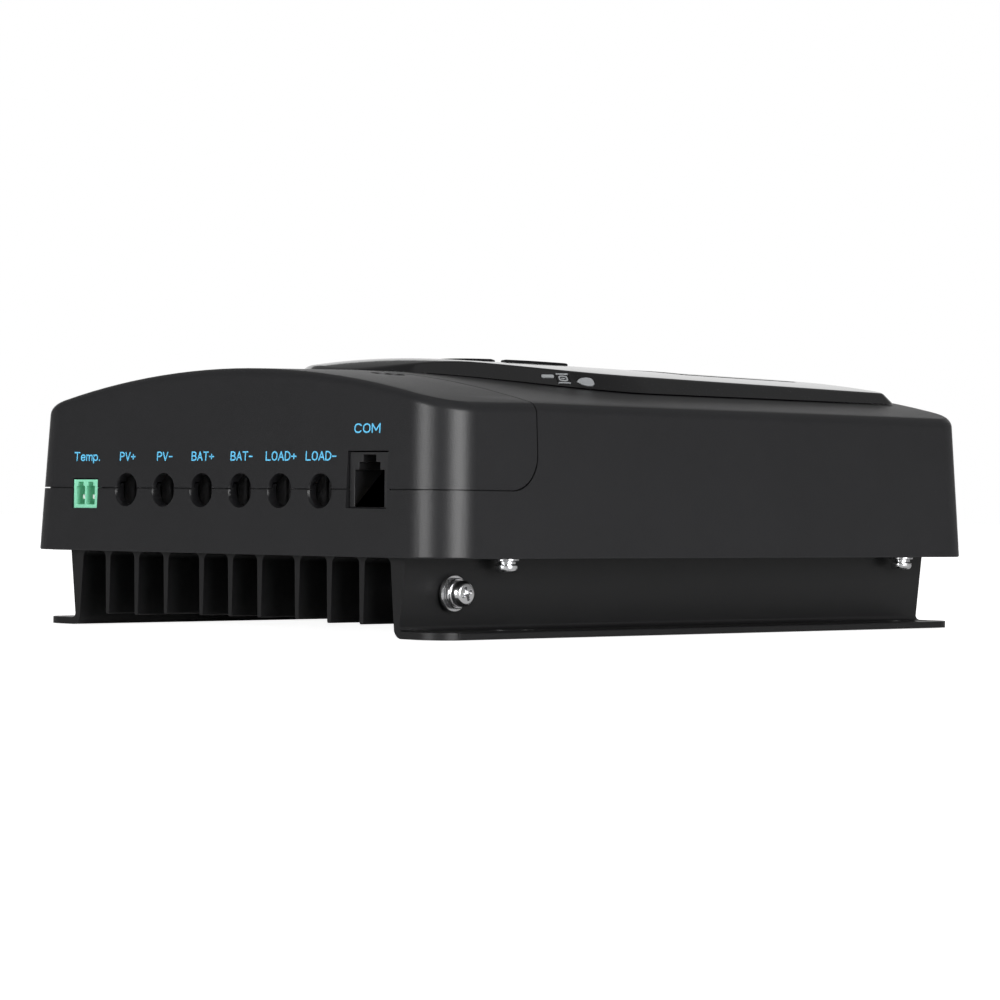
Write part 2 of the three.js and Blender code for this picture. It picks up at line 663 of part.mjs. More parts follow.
function terminalBlock() {
  const last = POLE_X0 + (POLE_COUNT - 1) * POLE_PITCH;
  const edge = POLE_PITCH / 2 + 0.5;
  const floor = BOARD_TOP_Z + 0.1;
  const body = box(POLE_X0 - edge, last + edge, BLOCK_FRONT_Y, BLOCK_BACK_Y, floor, BLOCK_TOP_Z);
  const cells = Array.from({ length: POLE_COUNT }, (_, i) => {
    const x = poleX(i);
    const cage = box(x - CAGE_HALF_X - 0.4, x + CAGE_HALF_X + 0.4, -FAR, CELL_BACK_Y, floor + 1, CELL_TOP_Z);
    const well = rod("z", [x, CLAMP_Y], CELL_TOP_Z - 1, FAR, WELL_RADIUS);
    const barSlot = box(x - 3.2, x + 3.2, CELL_BACK_Y - 1, -80, BAR_BOTTOM_Z - 0.3, BAR_TOP_Z + 0.4);
    return joined([cage, well, barSlot]);
  });
  return body.subtract(joined(cells));
}

// A clamp cage: an open box round the current bar that the screw pulls upwards.
function clampCage() {
  const front = CLAMP_Y - CAGE_HALF_Y;
  const back = CLAMP_Y + CAGE_HALF_Y;
  const outer = box(-CAGE_HALF_X, CAGE_HALF_X, front, back, CAGE_BOTTOM_Z, CAGE_TOP_Z);
  const inX = CAGE_HALF_X - CAGE_METAL;
  const window = box(-inX, inX, -FAR, FAR, CAGE_BOTTOM_Z + CAGE_METAL, CAGE_TOP_Z - 1.6);
  return outer.subtract(window).subtract(rod("z", [0, CLAMP_Y], CAGE_BOTTOM_Z + 3, FAR, 2.35, SMALL_ROUND));
}

function currentBar() {
  return box(-2.9, 2.9, -92.5, -80.2, BAR_BOTTOM_Z, BAR_TOP_Z);
}

function terminalScrew() {
  const tip = BAR_TOP_Z + 0.2;
  const top = TERMINAL_HEAD_Z + TERMINAL_HEAD;
  const body = solid(
    turned([
      [0, tip],
      [2, tip],
      [2.1, tip + 0.4],
      [2.1, TERMINAL_HEAD_Z],
      [3.5, TERMINAL_HEAD_Z],
      [3.5, top - 0.4],
      [3.2, top],
      [0, top],
    ]),
  );
  return body.subtract(box(-5, 5, -0.5, 0.5, top - 1.2, top + 1));
}

// The modular socket stands on two feet at its back, clear of the board.
function comJack() {
  const half = JACK_SIZE / 2;
  const z = BOARD_TOP_Z + JACK_FOOT;
  const body = box(-half, half, JACK_FACE_Y, JACK_BACK_Y, z, z + JACK_HEIGHT);
  const feet = [-1, 1].map((side) => {
    return rod("z", [side * 4.5, JACK_BACK_Y - 3], BOARD_TOP_Z + 0.1, z + 1, 1.2, SMALL_ROUND);
  });
  const back = JACK_MOUTH_BACK_Y;
  const mouth = box(-JACK_MOUTH_HALF_X, JACK_MOUTH_HALF_X, -FAR, back, z + 0.3, z + 8.8);
  const step = box(-3.5, 3.5, -FAR, back, z + 8.2, z + 10.6);
  const latch = box(-2.1, 2.1, -FAR, back, z + 10.2, z + 12.3);
  return joined([body, ...feet]).subtract(joined([mouth, step, latch])).translate([JACK_X, 0, 0]);
}

// Six sprung contact wires joined by their moulded carrier at the back of the socket.
function jackContacts() {
  const z = BOARD_TOP_Z + JACK_FOOT + 0.7;
  const carrier = box(-4.3, 4.3, -88.4, -86.3, z, z + 3);
  const wires = Array.from({ length: 6 }, (_, i) => {
    const x = (i - 2.5) * 1.27;
    const side = polygon([
      [-96, z],
      [-95.4, z],
      [-87.6, z + 2],
      [-87.6, z + 2.6],
    ]);
    return prism(side, "x", x - 0.25, x + 0.25);
  });
  return joined([carrier, ...wires]).translate([JACK_X, 0, 0]);
}

function tempHeader() {
  const half = HEADER_WIDTH / 2;
  const z = BOARD_TOP_Z + 0.1;
  const top = z + HEADER_HEIGHT;
  const body = box(-half, half, HEADER_FACE_Y, -90, z, top);
  const cells = [-1, 1].map((side) => {
    const x = (side * HEADER_PITCH) / 2;
    return box(x - 1.6, x + 1.6, -FAR, -91.4, z + 0.9, top - 1.6);
  });
  const keyways = [-1, 1].map((side) => {
    const x = (side * HEADER_PITCH) / 2;
    return box(x - 1, x + 1, -FAR, -91.4, top - 2, top - 0.6);
  });
  return body.subtract(joined([...cells, ...keyways])).translate([HEADER_X, 0, 0]);
}

// ---- Fasteners ----

// Half-outline of a pan-head screw from its tip to the top of its head, whose underside is at zero.
// A collar of [radius, height] pairs, going up the shank, carries any captive washers.
function panProfile(headRadius, headHeight, shankRadius, length, collar = []) {
  return [
    [0, -length],
    [shankRadius * 0.7, -length],
    [shankRadius, 0.5 - length],
    ...collar,
    [shankRadius, 0],
    [headRadius, 0],
    [headRadius, headHeight * 0.45],
    [headRadius * 0.8, headHeight * 0.85],
    [headRadius * 0.4, headHeight],
    [0, headHeight],
  ];
}

function panScrew(headRadius, headHeight, shankRadius, length, collar) {
  const body = solid(turned(panProfile(headRadius, headHeight, shankRadius, length, collar), 12));
  const arm = headRadius * 0.55;
  const slot = headRadius * 0.13;
  const depth = headHeight * 0.45;
  const cross = box(-arm, arm, -slot, slot, depth, headHeight + 1);
  return body.subtract(cross.add(box(-slot, slot, -arm, arm, depth, headHeight + 1)));
}

function washer(outer, inner, thickness) {
  const ring = rod("z", [0, 0], 0, thickness, outer, ROUND);
  return ring.subtract(rod("z", [0, 0], -1, thickness + 1, inner, ROUND));
}

// A split spring washer: a ring with a slanting cut through one side.
function springWasher(outer, inner, thickness) {
  const cut = polygon([
    [-0.6, -0.5],
    [0, -0.5],
    [0.6, thickness + 0.5],
    [0, thickness + 0.5],
  ]);
  return washer(outer, inner, thickness).subtract(prism(cut, "y", 0, outer + 1));
}

// A screw with a captive flat washer and spring washer, turned head down.
function baseScrew() {
  const collar = [
    [1.25, -2.2],
    [3, -2.2],
    [3, -1.6],
    [1.3, -1.6],
    [1.3, -1.5],
    [2.1, -1.5],
    [2.1, -0.2],
    [1.25, -0.2],
  ];
  return panScrew(2.25, 1.8, 1.25, 14, collar).rotate([180, 0, 0]);
}

// ---- Assembly ----

const controller = new THREE.Group();

function place(name, shape, material, { at = [0, 0, 0], turn = [0, 0, 0], into = controller } = {}) {
  const geometry = shape.isBufferGeometry ? shape : geometryOf(shape);
  const mesh = new THREE.Mesh(geometry, material());
  mesh.name = name;
  mesh.position.set(...at);
  mesh.rotation.set(...turn);
  into.add(mesh);
}

place("heat_sink", heatSink(), blackAluminium);
place("main_housing", mainHousing(), charcoalPlastic);
place("terminal_cover", terminalCover(), charcoalPlastic);

const display = new THREE.Group();
controller.add(display);
place("display_panel", displayPanel(), glossBlack, { into: display });
place("lcd_window", lcdWindow(), clearLens, { into: display });
const moduleFoot = DISPLAY_BOARD_Z + BOARD + 0.1;
const half = LCD_MODULE_HALF_X;
const lcdModule = box(-half, half, LCD_FRONT_Y + 2, LCD_BACK_Y - 2, moduleFoot, LCD_MODULE_TOP_Z);
place("lcd_module", lcdModule, lcdGlass, { into: display });
place("display_pcb", displayBoard(), boardGreen, { into: display });
place("key_mat", keyMat(), silicone, { into: display });
for (const [name, degrees] of Object.entries(KEY_ANGLES)) {
  place(name, key(degrees), blackPlastic, { into: display });
}
for (const [name, lamp] of Object.entries(LAMPS)) {
  const lens = lampLens(lamp, 0, -1.1, 0.15).subtract(underArch(CREST_Z + 0.1));
  place(name, lens, lampGrey, { into: display });
}

const power = new THREE.Group();
controller.add(power);
place("main_pcb", mainBoard(), boardGreen, { into: power });
STANDOFFS.forEach(([x, y], i) => {
  place(`pcb_standoff_${i + 1}`, standoff(), nylon, { at: [x, y, 0], into: power });
});
place("storage_inductor", storageInductor(), ferrite, { at: [-34, 15, BOARD_TOP_Z + 0.1], into: power });
place("capacitor_1", capacitor(), sleeveBlue, { at: [28, 0, BOARD_TOP_Z + 0.1], into: power });
place("capacitor_2", capacitor(), sleeveBlue, { at: [28, 22, BOARD_TOP_Z + 0.1], into: power });
place("thermal_pad", box(-42, 42, -52, -28, PLATE_TOP_Z + 0.1, PLATE_TOP_Z + 0.5), silicone, { into: power });
[-26, 26].forEach((x, i) => {
  const at = [x, -41, PLATE_TOP_Z + 0.6];
  place(`transistor_${i + 1}`, transistor(), blackPlastic, { at, into: power });
});
place("ribbon_cable", ribbonCable(), ribbonGrey, { into: power });

const terminals = new THREE.Group();
controller.add(terminals);
place("terminal_block", terminalBlock(), blackPlastic, { into: terminals });
for (let i = 0; i < POLE_COUNT; i += 1) {
  const at = [poleX(i), 0, 0];
  place(`clamp_cage_${i + 1}`, clampCage(), steel, { at, into: terminals });
  place(`current_bar_${i + 1}`, currentBar(), copper, { at, into: terminals });
  place(`terminal_screw_${i + 1}`, terminalScrew(), steel, { at: [poleX(i), CLAMP_Y, 0], into: terminals });
}
place("com_jack", comJack(), blackPlastic, { into: terminals });
place("jack_contacts", jackContacts(), brass, { into: terminals });
place("temp_header", tempHeader(), greenPlastic, { into: terminals });
[-1, 1].forEach((side, i) => {
  const x = HEADER_X + (side * HEADER_PITCH) / 2;
  const pin = box(x - 0.5, x + 0.5, -97.9, -91.8, 31.6, 32.6);
  place(`temp_pin_${i + 1}`, pin, brass, { into: terminals });
});

const fasteners = new THREE.Group();
controller.add(fasteners);
const sideways = [0, Math.PI / 2, 0];
const groundAt = (x) => ({ at: [x, SINK_SCREW_Y, SINK_SCREW_Z], turn: sideways, into: fasteners });
place("ground_washer", washer(4.3, 2.3, 0.8), steel, groundAt(59.8));
place("ground_lock_washer", springWasher(3.6, 2.3, 1.1), steel, groundAt(60.7));
place("ground_screw", panScrew(3.1, 2.7, 1.95, 12), steel, groundAt(61.9));
let baseScrewNumber = 1;
for (const y of BASE_SCREW_Y) {
  for (const side of [-1, 1]) {
    const at = [side * BASE_SCREW_X, y, PLATE_BOTTOM_Z - 2.2];
    place(`base_screw_${baseScrewNumber}`, baseScrew(), steel, { at, into: fasteners });
    baseScrewNumber += 1;
  }
}
[["left", -1], ["right", 1]].forEach(([name, side]) => {
  const at = [side * COVER_SCREW_X, COVER_SCREW_Y, RECESS_FLOOR_Z + 0.1];
  place(`cover_screw_${name}`, panScrew(2.8, 2.2, 1.45, 9.5), steel, { at, into: fasteners });
});

export default controller;
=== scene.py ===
"""Looks of the solar charge controller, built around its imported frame. Sizes are in millimetres until
a piece is finished, and then in metres. +Z is up, +Y runs away from the wall that the cables enter."""
import math

import bpy
import numpy as np
from mathutils import Matrix, Vector


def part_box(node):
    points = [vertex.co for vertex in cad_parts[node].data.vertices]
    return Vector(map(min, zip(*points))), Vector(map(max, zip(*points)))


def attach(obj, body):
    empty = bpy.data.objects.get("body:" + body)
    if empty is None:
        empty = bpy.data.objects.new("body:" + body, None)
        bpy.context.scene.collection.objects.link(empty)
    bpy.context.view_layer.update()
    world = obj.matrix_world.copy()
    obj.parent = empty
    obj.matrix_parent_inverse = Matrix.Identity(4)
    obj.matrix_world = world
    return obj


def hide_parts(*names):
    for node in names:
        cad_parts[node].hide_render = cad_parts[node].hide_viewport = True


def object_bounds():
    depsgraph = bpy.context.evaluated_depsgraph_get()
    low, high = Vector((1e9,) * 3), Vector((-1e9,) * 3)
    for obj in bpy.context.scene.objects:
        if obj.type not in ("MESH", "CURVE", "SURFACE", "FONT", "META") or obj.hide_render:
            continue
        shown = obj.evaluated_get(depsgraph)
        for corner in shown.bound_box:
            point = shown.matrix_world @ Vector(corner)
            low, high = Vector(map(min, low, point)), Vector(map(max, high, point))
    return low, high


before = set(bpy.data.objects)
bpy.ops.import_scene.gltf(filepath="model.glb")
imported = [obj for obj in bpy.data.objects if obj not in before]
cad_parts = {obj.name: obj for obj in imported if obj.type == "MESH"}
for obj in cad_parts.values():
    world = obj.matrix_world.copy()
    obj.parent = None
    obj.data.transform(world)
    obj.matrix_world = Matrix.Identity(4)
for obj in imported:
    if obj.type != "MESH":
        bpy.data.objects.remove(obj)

MM = 0.001
cad_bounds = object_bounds()


def box_mm(node):
    """Lowest and highest corner of a CAD node, in millimetres."""
    low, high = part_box(node)
    return Vector(low) / MM, Vector(high) / MM


# ---- Sizes taken from the frame ----

CASE_LOW, CASE_HIGH = box_mm("main_housing")
SINK_LOW, SINK_HIGH = box_mm("heat_sink")
HALF_X = CASE_HIGH.x
HALF_Y = CASE_HIGH.y
RIM_Z = CASE_LOW.z
CREST_Z = CASE_HIGH.z
SHOULDER_Z = 55.2
CORNER = 11
DRAFT = 1.8
WALL = 2.5
ARCH_RADIUS = 310
SHOULDER_FILLET = 2.2
RIM_CHAMFER = 0.3
RIM_PULL_X, RIM_PULL_Y = 0.9975, 0.998

PARTING_Z = 34.2
SEAM_Y = -67.5
SEAM_CORNER = 8.7
SEAM_GAP = 0.3
LIP_OUTER = 1.35
LIP_INNER = 2.45
LIP_REACH = 1.3
COVER_TILT = math.radians(1.2)
BULKHEAD_Y = -66.9
COVER_SCREW_X = 30.5
COVER_SCREW_Y = -74
COVER_SCREW_PLACES = (-COVER_SCREW_X, COVER_SCREW_X)
RECESS_FLOOR_Z = 58.2
RECESS_RADIUS = 4.2
RECESS_WALL = 1.6
POST_FOOT_Z = 46
POST_TOP_Z = 55.9
POST_RADIUS = 3.6
POST_WEB = 1.5
POST_BORE_RADIUS = 1.65
BOSS_TOP_Z = 36
BOSS_BORE_RADIUS = 1.4

PANEL_RADIUS = 55.2
PANEL_FOOT_Z = 59.2
ROOF_GAP = 0.1
PANEL_CENTRE_Y = -6.5
PANEL_BACK_Y = 94.6
PANEL_CORNER = 7
PANEL_WALL = 2
PANEL_PEAK_Z = 67.65
PANEL_PEAK_Y = -11.5
PANEL_BACK_SLOPE = 0.0113
PANEL_NOSE_Y = -43
PANEL_NOSE_RADIUS = 29

KEY_CENTRE_Y = -5
KEY_INNER = 8.6
KEY_OUTER = 18.2
KEY_HALF_ANGLE = math.radians(40)
KEY_PROUD = 0.72
KEY_FIT = 0.4
KEY_FLANGE_Z = (63.2, 64.4)
KEY_STEM_Z = (61.2, 63.4)
KEY_ANGLES = {"key_up": 90, "key_back": 180, "key_down": 270, "key_enter": 0}
# Bearing on the panel's rim in degrees, height, half length and half breadth.
LAMPS = {
    "lamp_solar": (-30.8, 62.75, 1.6, 0.5),
    "lamp_battery": (-26.6, 62.2, 1.6, 1.8),
    "lamp_load": (-20.4, 61.55, 2.3, 1.45),
}
LAMP_FIT = 0.3
LCD_PLAN = (-33, 33, 30, 78)
LCD_CORNER = 2.5
LENS_TOP = 0.12
LENS_BOTTOM = -1.6

POLES = [-35.9 + 14 * index for index in range(6)]
ENTRY_Z = 34
ENTRY_RADIUS = 3.9
ENTRY_BACK_Y = -95.5
ENTRY_RIM_WIDTH = 0.32
ENTRY_RIM_DEPTH = 0.55
ENTRY_RIM_SINK = 0.48
SOCKET_BACK_Y = -90
BOARD_TOP_Z = 29.2
JACK_LOW, JACK_HIGH = box_mm("com_jack")
JACK_X = (JACK_LOW.x + JACK_HIGH.x) / 2
JACK_BASE_Z = BOARD_TOP_Z + 0.9
JACK_GAP = 0.15
JACK_MOUTH_BACK_Y = -86
HEADER_LOW, HEADER_HIGH = box_mm("temp_header")
HEADER_X = (HEADER_LOW.x + HEADER_HIGH.x) / 2
HEADER_PITCH = 3.81
HEADER_CELL_BACK_Y = -91.4
FRONT_GAP = 0.3
BASE_SCREWS = [(-64, -67.1), (64, -67.1), (-64, 82.7), (64, 82.7)]
PLATE_TOP_Z = 22.5
PLATE_BOTTOM_Z = 18.6
PLATE_HALF_X = 67.6
LEDGE_X = PLATE_HALF_X + 0.3
LEDGE = 2
EASE = 0.22
FAR = 130
SHARP = math.radians(38)


# ---- Mesh building ----

def new_piece(name, points, faces):
    mesh = bpy.data.meshes.new(name)
    mesh.from_pydata([tuple(point) for point in points], [], faces)
    mesh.update()
    piece = bpy.data.objects.new(name, mesh)
    bpy.context.scene.collection.objects.link(piece)
    return piece


def loft(rings):
    """A closed body through rings of equally many points, with a flat cap on the first and the last."""
    count = len(rings[0])
    points = [point for ring in rings for point in ring]
    faces = [list(range(count))[::-1]]
    for k in range(len(rings) - 1):
        for i in range(count):
            j = (i + 1) % count
            low, high = k * count, (k + 1) * count
            faces.append([low + i, low + j, high + j, high + i])
    faces.append([(len(rings) - 1) * count + i for i in range(count)])
    return new_piece("loft", points, faces)


def outward(outline):
    """The outline turned to run anticlockwise."""
    area = sum(a[0] * b[1] - b[0] * a[1] for a, b in zip(outline, outline[1:] + outline[:1]))
    return outline if area > 0 else outline[::-1]


def along_axis(axis, u, v, w):
    """A point from its place in an outline, u and v, and its place along the axis, w."""
    if axis == "x":
        return (w, u, v)
    if axis == "y":
        return (u, w, v)
    return (u, v, w)


def prism(outline, axis, start, end):
    """The outline drawn out along an axis, closed at both ends."""
    outline = outward([tuple(point) for point in outline])
    if axis == "y":
        outline = outline[::-1]
    return loft([[along_axis(axis, u, v, w) for u, v in outline] for w in (start, end)])


def block(x0, x1, y0, y1, z0, z1):
    return prism([(x0, y0), (x1, y0), (x1, y1), (x0, y1)], "z", z0, z1)


def arc(cx, cy, radius, start, end, steps):
    angles = [math.radians(start + (end - start) * i / steps) for i in range(steps + 1)]
    return [(cx + radius * math.cos(a), cy + radius * math.sin(a)) for a in angles]


def rounded(u0, u1, v0, v1, r, steps=6):
    return (
        arc(u1 - r, v0 + r, r, -90, 0, steps)
        + arc(u1 - r, v1 - r, r, 0, 90, steps)
        + arc(u0 + r, v1 - r, r, 90, 180, steps)
        + arc(u0 + r, v0 + r, r, 180, 270, steps)
    )


def round_bar(axis, centre, start, end, radius, steps=48):
    outline = arc(centre[0], centre[1], radius, 0, 360, steps)[:-1]
    return prism(outline, axis, start, end)


def turned(profile, steps=48):
    """A body turned about Z from [radius, height] pairs, from the axis at the bottom to the axis on top."""
    rings = [arc(0, 0, max(r, 0.01), 0, 360, steps)[:-1] for r, h in profile]
    return loft([[(x, y, h) for x, y in ring] for ring, (r, h) in zip(rings, profile)])


def apply_all(piece):
    """Makes what a piece's modifiers do part of its mesh."""
    depsgraph = bpy.context.evaluated_depsgraph_get()
    mesh = bpy.data.meshes.new_from_object(piece.evaluated_get(depsgraph), depsgraph=depsgraph)
    piece.modifiers.clear()
    old = piece.data
    piece.data = mesh
    bpy.data.meshes.remove(old)
    return piece


def combine(body, tools, operation="DIFFERENCE"):
    """Cuts the tools out of the body, joins them to it, or keeps what they share. The tools are used up."""
    for tool in tools:
        modifier = body.modifiers.new("combine", "BOOLEAN")
        modifier.operation = operation
        modifier.solver = "MANIFOLD"
        modifier.object = tool
    apply_all(body)
    for tool in tools:
        bpy.data.objects.remove(tool)
    return body


def cut(body, *tools):
    return combine(body, tools)


def join(body, *tools):
    return combine(body, tools, "UNION")


def keep(body, *tools):
    return combine(body, tools, "INTERSECT")


def merge_flat(piece, degrees=0.4):
    """Joins coplanar faces, so that an eased edge runs along the whole of a flat side."""
    modifier = piece.modifiers.new("flat", "DECIMATE")
    modifier.decimate_type = "DISSOLVE"
    modifier.angle_limit = math.radians(degrees)
    return apply_all(piece)


def ease(piece, width, segments=2, angle=40):
    """Rounds every edge sharper than the angle."""
    modifier = piece.modifiers.new("ease", "BEVEL")
    modifier.width = width
    modifier.segments = segments
    modifier.limit_method = "ANGLE"
    modifier.angle_limit = math.radians(angle)
    modifier.use_clamp_overlap = True
    modifier.miter_outer = "MITER_ARC"
    return apply_all(piece)


def placed(piece, matrix):
    piece.data.transform(matrix)
    return piece


def stand_at(x, y, z, turn=None):
    place = Matrix.Translation((x, y, z))
    return place @ turn if turn else place


def finished(piece, name, material, body, replaces=()):
    """Scales a piece to metres, shades it, dresses it and hangs it on its body."""
    piece.name = name
    piece.data.name = name
    piece.data.transform(Matrix.Scale(MM, 4))
    piece.data.shade_smooth()
    piece.data.set_sharp_from_angle(angle=SHARP)
    weights = piece.modifiers.new("weights", "WEIGHTED_NORMAL")
    weights.keep_sharp = True
    apply_all(piece)
    piece.data.materials.clear()
    piece.data.materials.append(material)
    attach(piece, body)
    if replaces:
        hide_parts(*replaces)
    return piece


# ---- Materials ----

def shader_nodes(name):
    material = bpy.data.materials.new(name)
    material.use_nodes = True
    tree = material.node_tree
    principled = tree.nodes["Principled BSDF"]
    place = tree.nodes.new("ShaderNodeTexCoord").outputs["Object"]
    return material, tree, principled, place


def noise(tree, place, scale, detail=3, stretch=None):
    """Noise with features of 1 / scale metres, drawn out along an axis where stretch says so."""
    if stretch:
        mapping = tree.nodes.new("ShaderNodeMapping")
        mapping.inputs["Scale"].default_value = stretch
        tree.links.new(place, mapping.inputs["Vector"])
        place = mapping.outputs["Vector"]
    texture = tree.nodes.new("ShaderNodeTexNoise")
    texture.inputs["Scale"].default_value = scale
    texture.inputs["Detail"].default_value = detail
    tree.links.new(place, texture.inputs["Vector"])
    return texture.outputs["Fac"]


def ramp(tree, value, low, high, start=0.3, end=0.7):
    node = tree.nodes.new("ShaderNodeValToRGB")
    node.color_ramp.elements[0].position = start
    node.color_ramp.elements[0].color = (*low, 1)
    node.color_ramp.elements[1].position = end
    node.color_ramp.elements[1].color = (*high, 1)
    tree.links.new(value, node.inputs["Fac"])
    return node.outputs["Color"]


def spread(tree, value, low, high):
    node = tree.nodes.new("ShaderNodeMapRange")
    node.inputs["To Min"].default_value = low
    node.inputs["To Max"].default_value = high
    tree.links.new(value, node.inputs["Value"])
    return node.outputs["Result"]


def surface(name, tone, roughness, grain, bump, metallic=0.0, drift=0.12, stretch=None, specular=0.5):
    """A surface whose tone drifts softly over centimetres, with fine grain of the given size in mm."""
    material, tree, principled, place = shader_nodes(name)
    broad = noise(tree, place, 60)
    fine = noise(tree, place, 1 / (grain * MM), 4, stretch)
    darker = [channel * (1 - drift) for channel in tone]
    lighter = [min(1, channel * (1 + drift)) for channel in tone]
    mixed = tree.nodes.new("ShaderNodeMix")
    mixed.data_type = "RGBA"
    mixed.inputs["Factor"].default_value = 0.5
    tree.links.new(ramp(tree, broad, darker, lighter), mixed.inputs["A"])
    tree.links.new(ramp(tree, fine, darker, lighter), mixed.inputs["B"])
    tree.links.new(mixed.outputs["Result"], principled.inputs["Base Color"])
    tree.links.new(spread(tree, fine, roughness[0], roughness[1]), principled.inputs["Roughness"])
    principled.inputs["Metallic"].default_value = metallic
    principled.inputs["Specular IOR Level"].default_value = specular
    relief = tree.nodes.new("ShaderNodeBump")
    relief.inputs["Strength"].default_value = bump
    relief.inputs["Distance"].default_value = grain * MM * 0.3
    tree.links.new(fine, relief.inputs["Height"])
    tree.links.new(relief.outputs["Normal"], principled.inputs["Normal"])
    return material


def make_materials():
    grain_along_y = (1, 0.02, 1)
    return {
        "charcoal": surface("moulded_charcoal", (0.0125, 0.0125, 0.0138), (0.33, 0.42), 0.35, 0.3,
                            specular=0.42),
        "panel": surface("gloss_black", (0.0045, 0.0045, 0.005), (0.07, 0.11), 3, 0.02),
        "sink": surface("anodised_black", (0.0085, 0.0085, 0.009), (0.34, 0.46), 0.25, 0.2, 0.0, 0.1,
                        grain_along_y, 0.35),
        "zinc": surface("zinc_plate", (0.86, 0.86, 0.87), (0.14, 0.24), 0.3, 0.1, 1.0, 0.06),
        "green": surface("green_moulding", (0.28, 0.78, 0.52), (0.36, 0.5), 0.4, 0.15),
        "resin": surface("black_moulding", (0.017, 0.017, 0.018), (0.3, 0.42), 0.3, 0.15),
        "key": surface("key_moulding", (0.010, 0.010, 0.0105), (0.7, 0.8), 0.3, 0.2, specular=0.05),
        "gold": surface("gold_plate", (0.85, 0.62, 0.28), (0.2, 0.3), 0.3, 0.08, 1.0, 0.06),
        "tin": surface("tin_plate", (0.9, 0.9, 0.88), (0.22, 0.32), 0.3, 0.08, 0.2, 0.06),
        "copper": surface("copper_bar", (0.72, 0.40, 0.26), (0.24, 0.36), 0.3, 0.1, 1.0, 0.08),
        "board": surface("solder_mask", (0.02, 0.10, 0.05), (0.25, 0.4), 1.2, 0.1, 0.0, 0.2),
        "rubber": surface("silicone_rubber", (0.10, 0.10, 0.11), (0.6, 0.75), 0.3, 0.15),
        "ferrite": surface("ferrite_core", (0.05, 0.05, 0.055), (0.55, 0.75), 0.4, 0.3),
        "sleeve": surface("shrink_sleeve", (0.02, 0.03, 0.10), (0.25, 0.35), 0.8, 0.08),
        "nylon": surface("natural_nylon", (0.80, 0.79, 0.72), (0.4, 0.5), 0.4, 0.1, 0.0, 0.04),
        "ribbon": surface("ribbon_sheath", (0.33, 0.33, 0.35), (0.4, 0.55), 0.4, 0.12),
        "lamp": surface("lamp_lens", (0.29, 0.30, 0.31), (0.3, 0.4), 0.5, 0.05, 0.0, 0.05),
        "ink": surface("label_ink", (0.14, 0.62, 1.0), (0.45, 0.6), 0.25, 0.1, 0.0, 0.04),
        "lens": surface("smoked_lens", (0.010, 0.011, 0.012), (0.04, 0.07), 3, 0.01),
        "display": surface("display_glass", (0.30, 0.35, 0.29), (0.15, 0.2), 0.8, 0.03, 0.0, 0.04),
    }


# ---- Case ----

def arch_height(x, crest):
    """Height of an arched roof across the case."""
    return crest - ARCH_RADIUS + math.sqrt(ARCH_RADIUS**2 - x * x)


def case_top(x, y, tilted):
    """Height of the case's roof. On the cover it falls towards the front."""
    fall = (y - SEAM_Y) * math.tan(COVER_TILT) if tilted else 0
    return arch_height(x, CREST_Z) + fall


def lean(x, y, z, half_x, half_y):
    """The point moved inwards with its height, as the walls lean."""
    inwards = DRAFT * (z - RIM_Z) / (SHOULDER_Z - RIM_Z)
    return (x * (1 - inwards / half_x), y * (1 - inwards / half_y), z)


def wall_y(z):
    """Where the leaning front wall is at a height."""
    return -(HALF_Y - DRAFT * (z - RIM_Z) / (SHOULDER_Z - RIM_Z))


def case_body(inset, bottom, fillet, tilted, steps):
    """The leaning case filled solid, moved inwards by a wall thickness, with a rounded shoulder."""
    half_x, half_y = HALF_X - inset, HALF_Y - inset
    corner = CORNER - inset

    def outline(extra):
        r = max(corner - extra, 0.5)
        sides = []
        quarters = ((1, -1, -90), (1, 1, 0), (-1, 1, 90), (-1, -1, 180))
        for sx, sy, start in quarters:
            cx, cy = sx * (half_x - extra - r), sy * (half_y - extra - r)
            sides.append(arc(cx, cy, r, start, start + 90, steps))
        points = []
        for k in range(4):
            points += sides[k]
            (ax, ay), (bx, by) = sides[k][-1], sides[(k + 1) % 4][0]
            parts = 24 if k % 2 else 36
            for i in range(1, parts):
                t = i / parts
                points.append((ax + (bx - ax) * t, ay + (by - ay) * t))
        return points

    wall = outline(0)
    top = [case_top(x, y, tilted) - inset for x, y in wall]
    rings = []
    if inset == 0:
        rings.append([(x * RIM_PULL_X, y * RIM_PULL_Y, bottom) for x, y in wall])
        rings.append([(x, y, bottom + RIM_CHAMFER) for x, y in wall])
    else:
        rings.append([(x, y, bottom) for x, y in wall])
    rings.append([(x, y, top[i] - fillet) for i, (x, y) in enumerate(wall)])
    arc_steps = 6
    for k in range(1, arc_steps + 1):
        angle = math.radians(90 * k / arc_steps)
        extra = fillet * (1 - math.cos(angle))
        drop = fillet * (1 - math.sin(angle))
        ring = outline(extra)
        rings.append([(x, y, case_top(x, y, tilted) - inset - drop) for x, y in ring])
    shoulder = outline(fillet)
    for share in (0.985, 0.95, 0.9, 0.8, 0.7, 0.6, 0.5, 0.4, 0.3, 0.2, 0.1, 0.02):
        ring = [(x * share, y * share) for x, y in shoulder]
        rings.append([(x, y, case_top(x, y, tilted) - inset) for x, y in ring])
    rings = [[lean(*point, half_x, half_y) for point in ring] for ring in rings]
    return loft(rings)


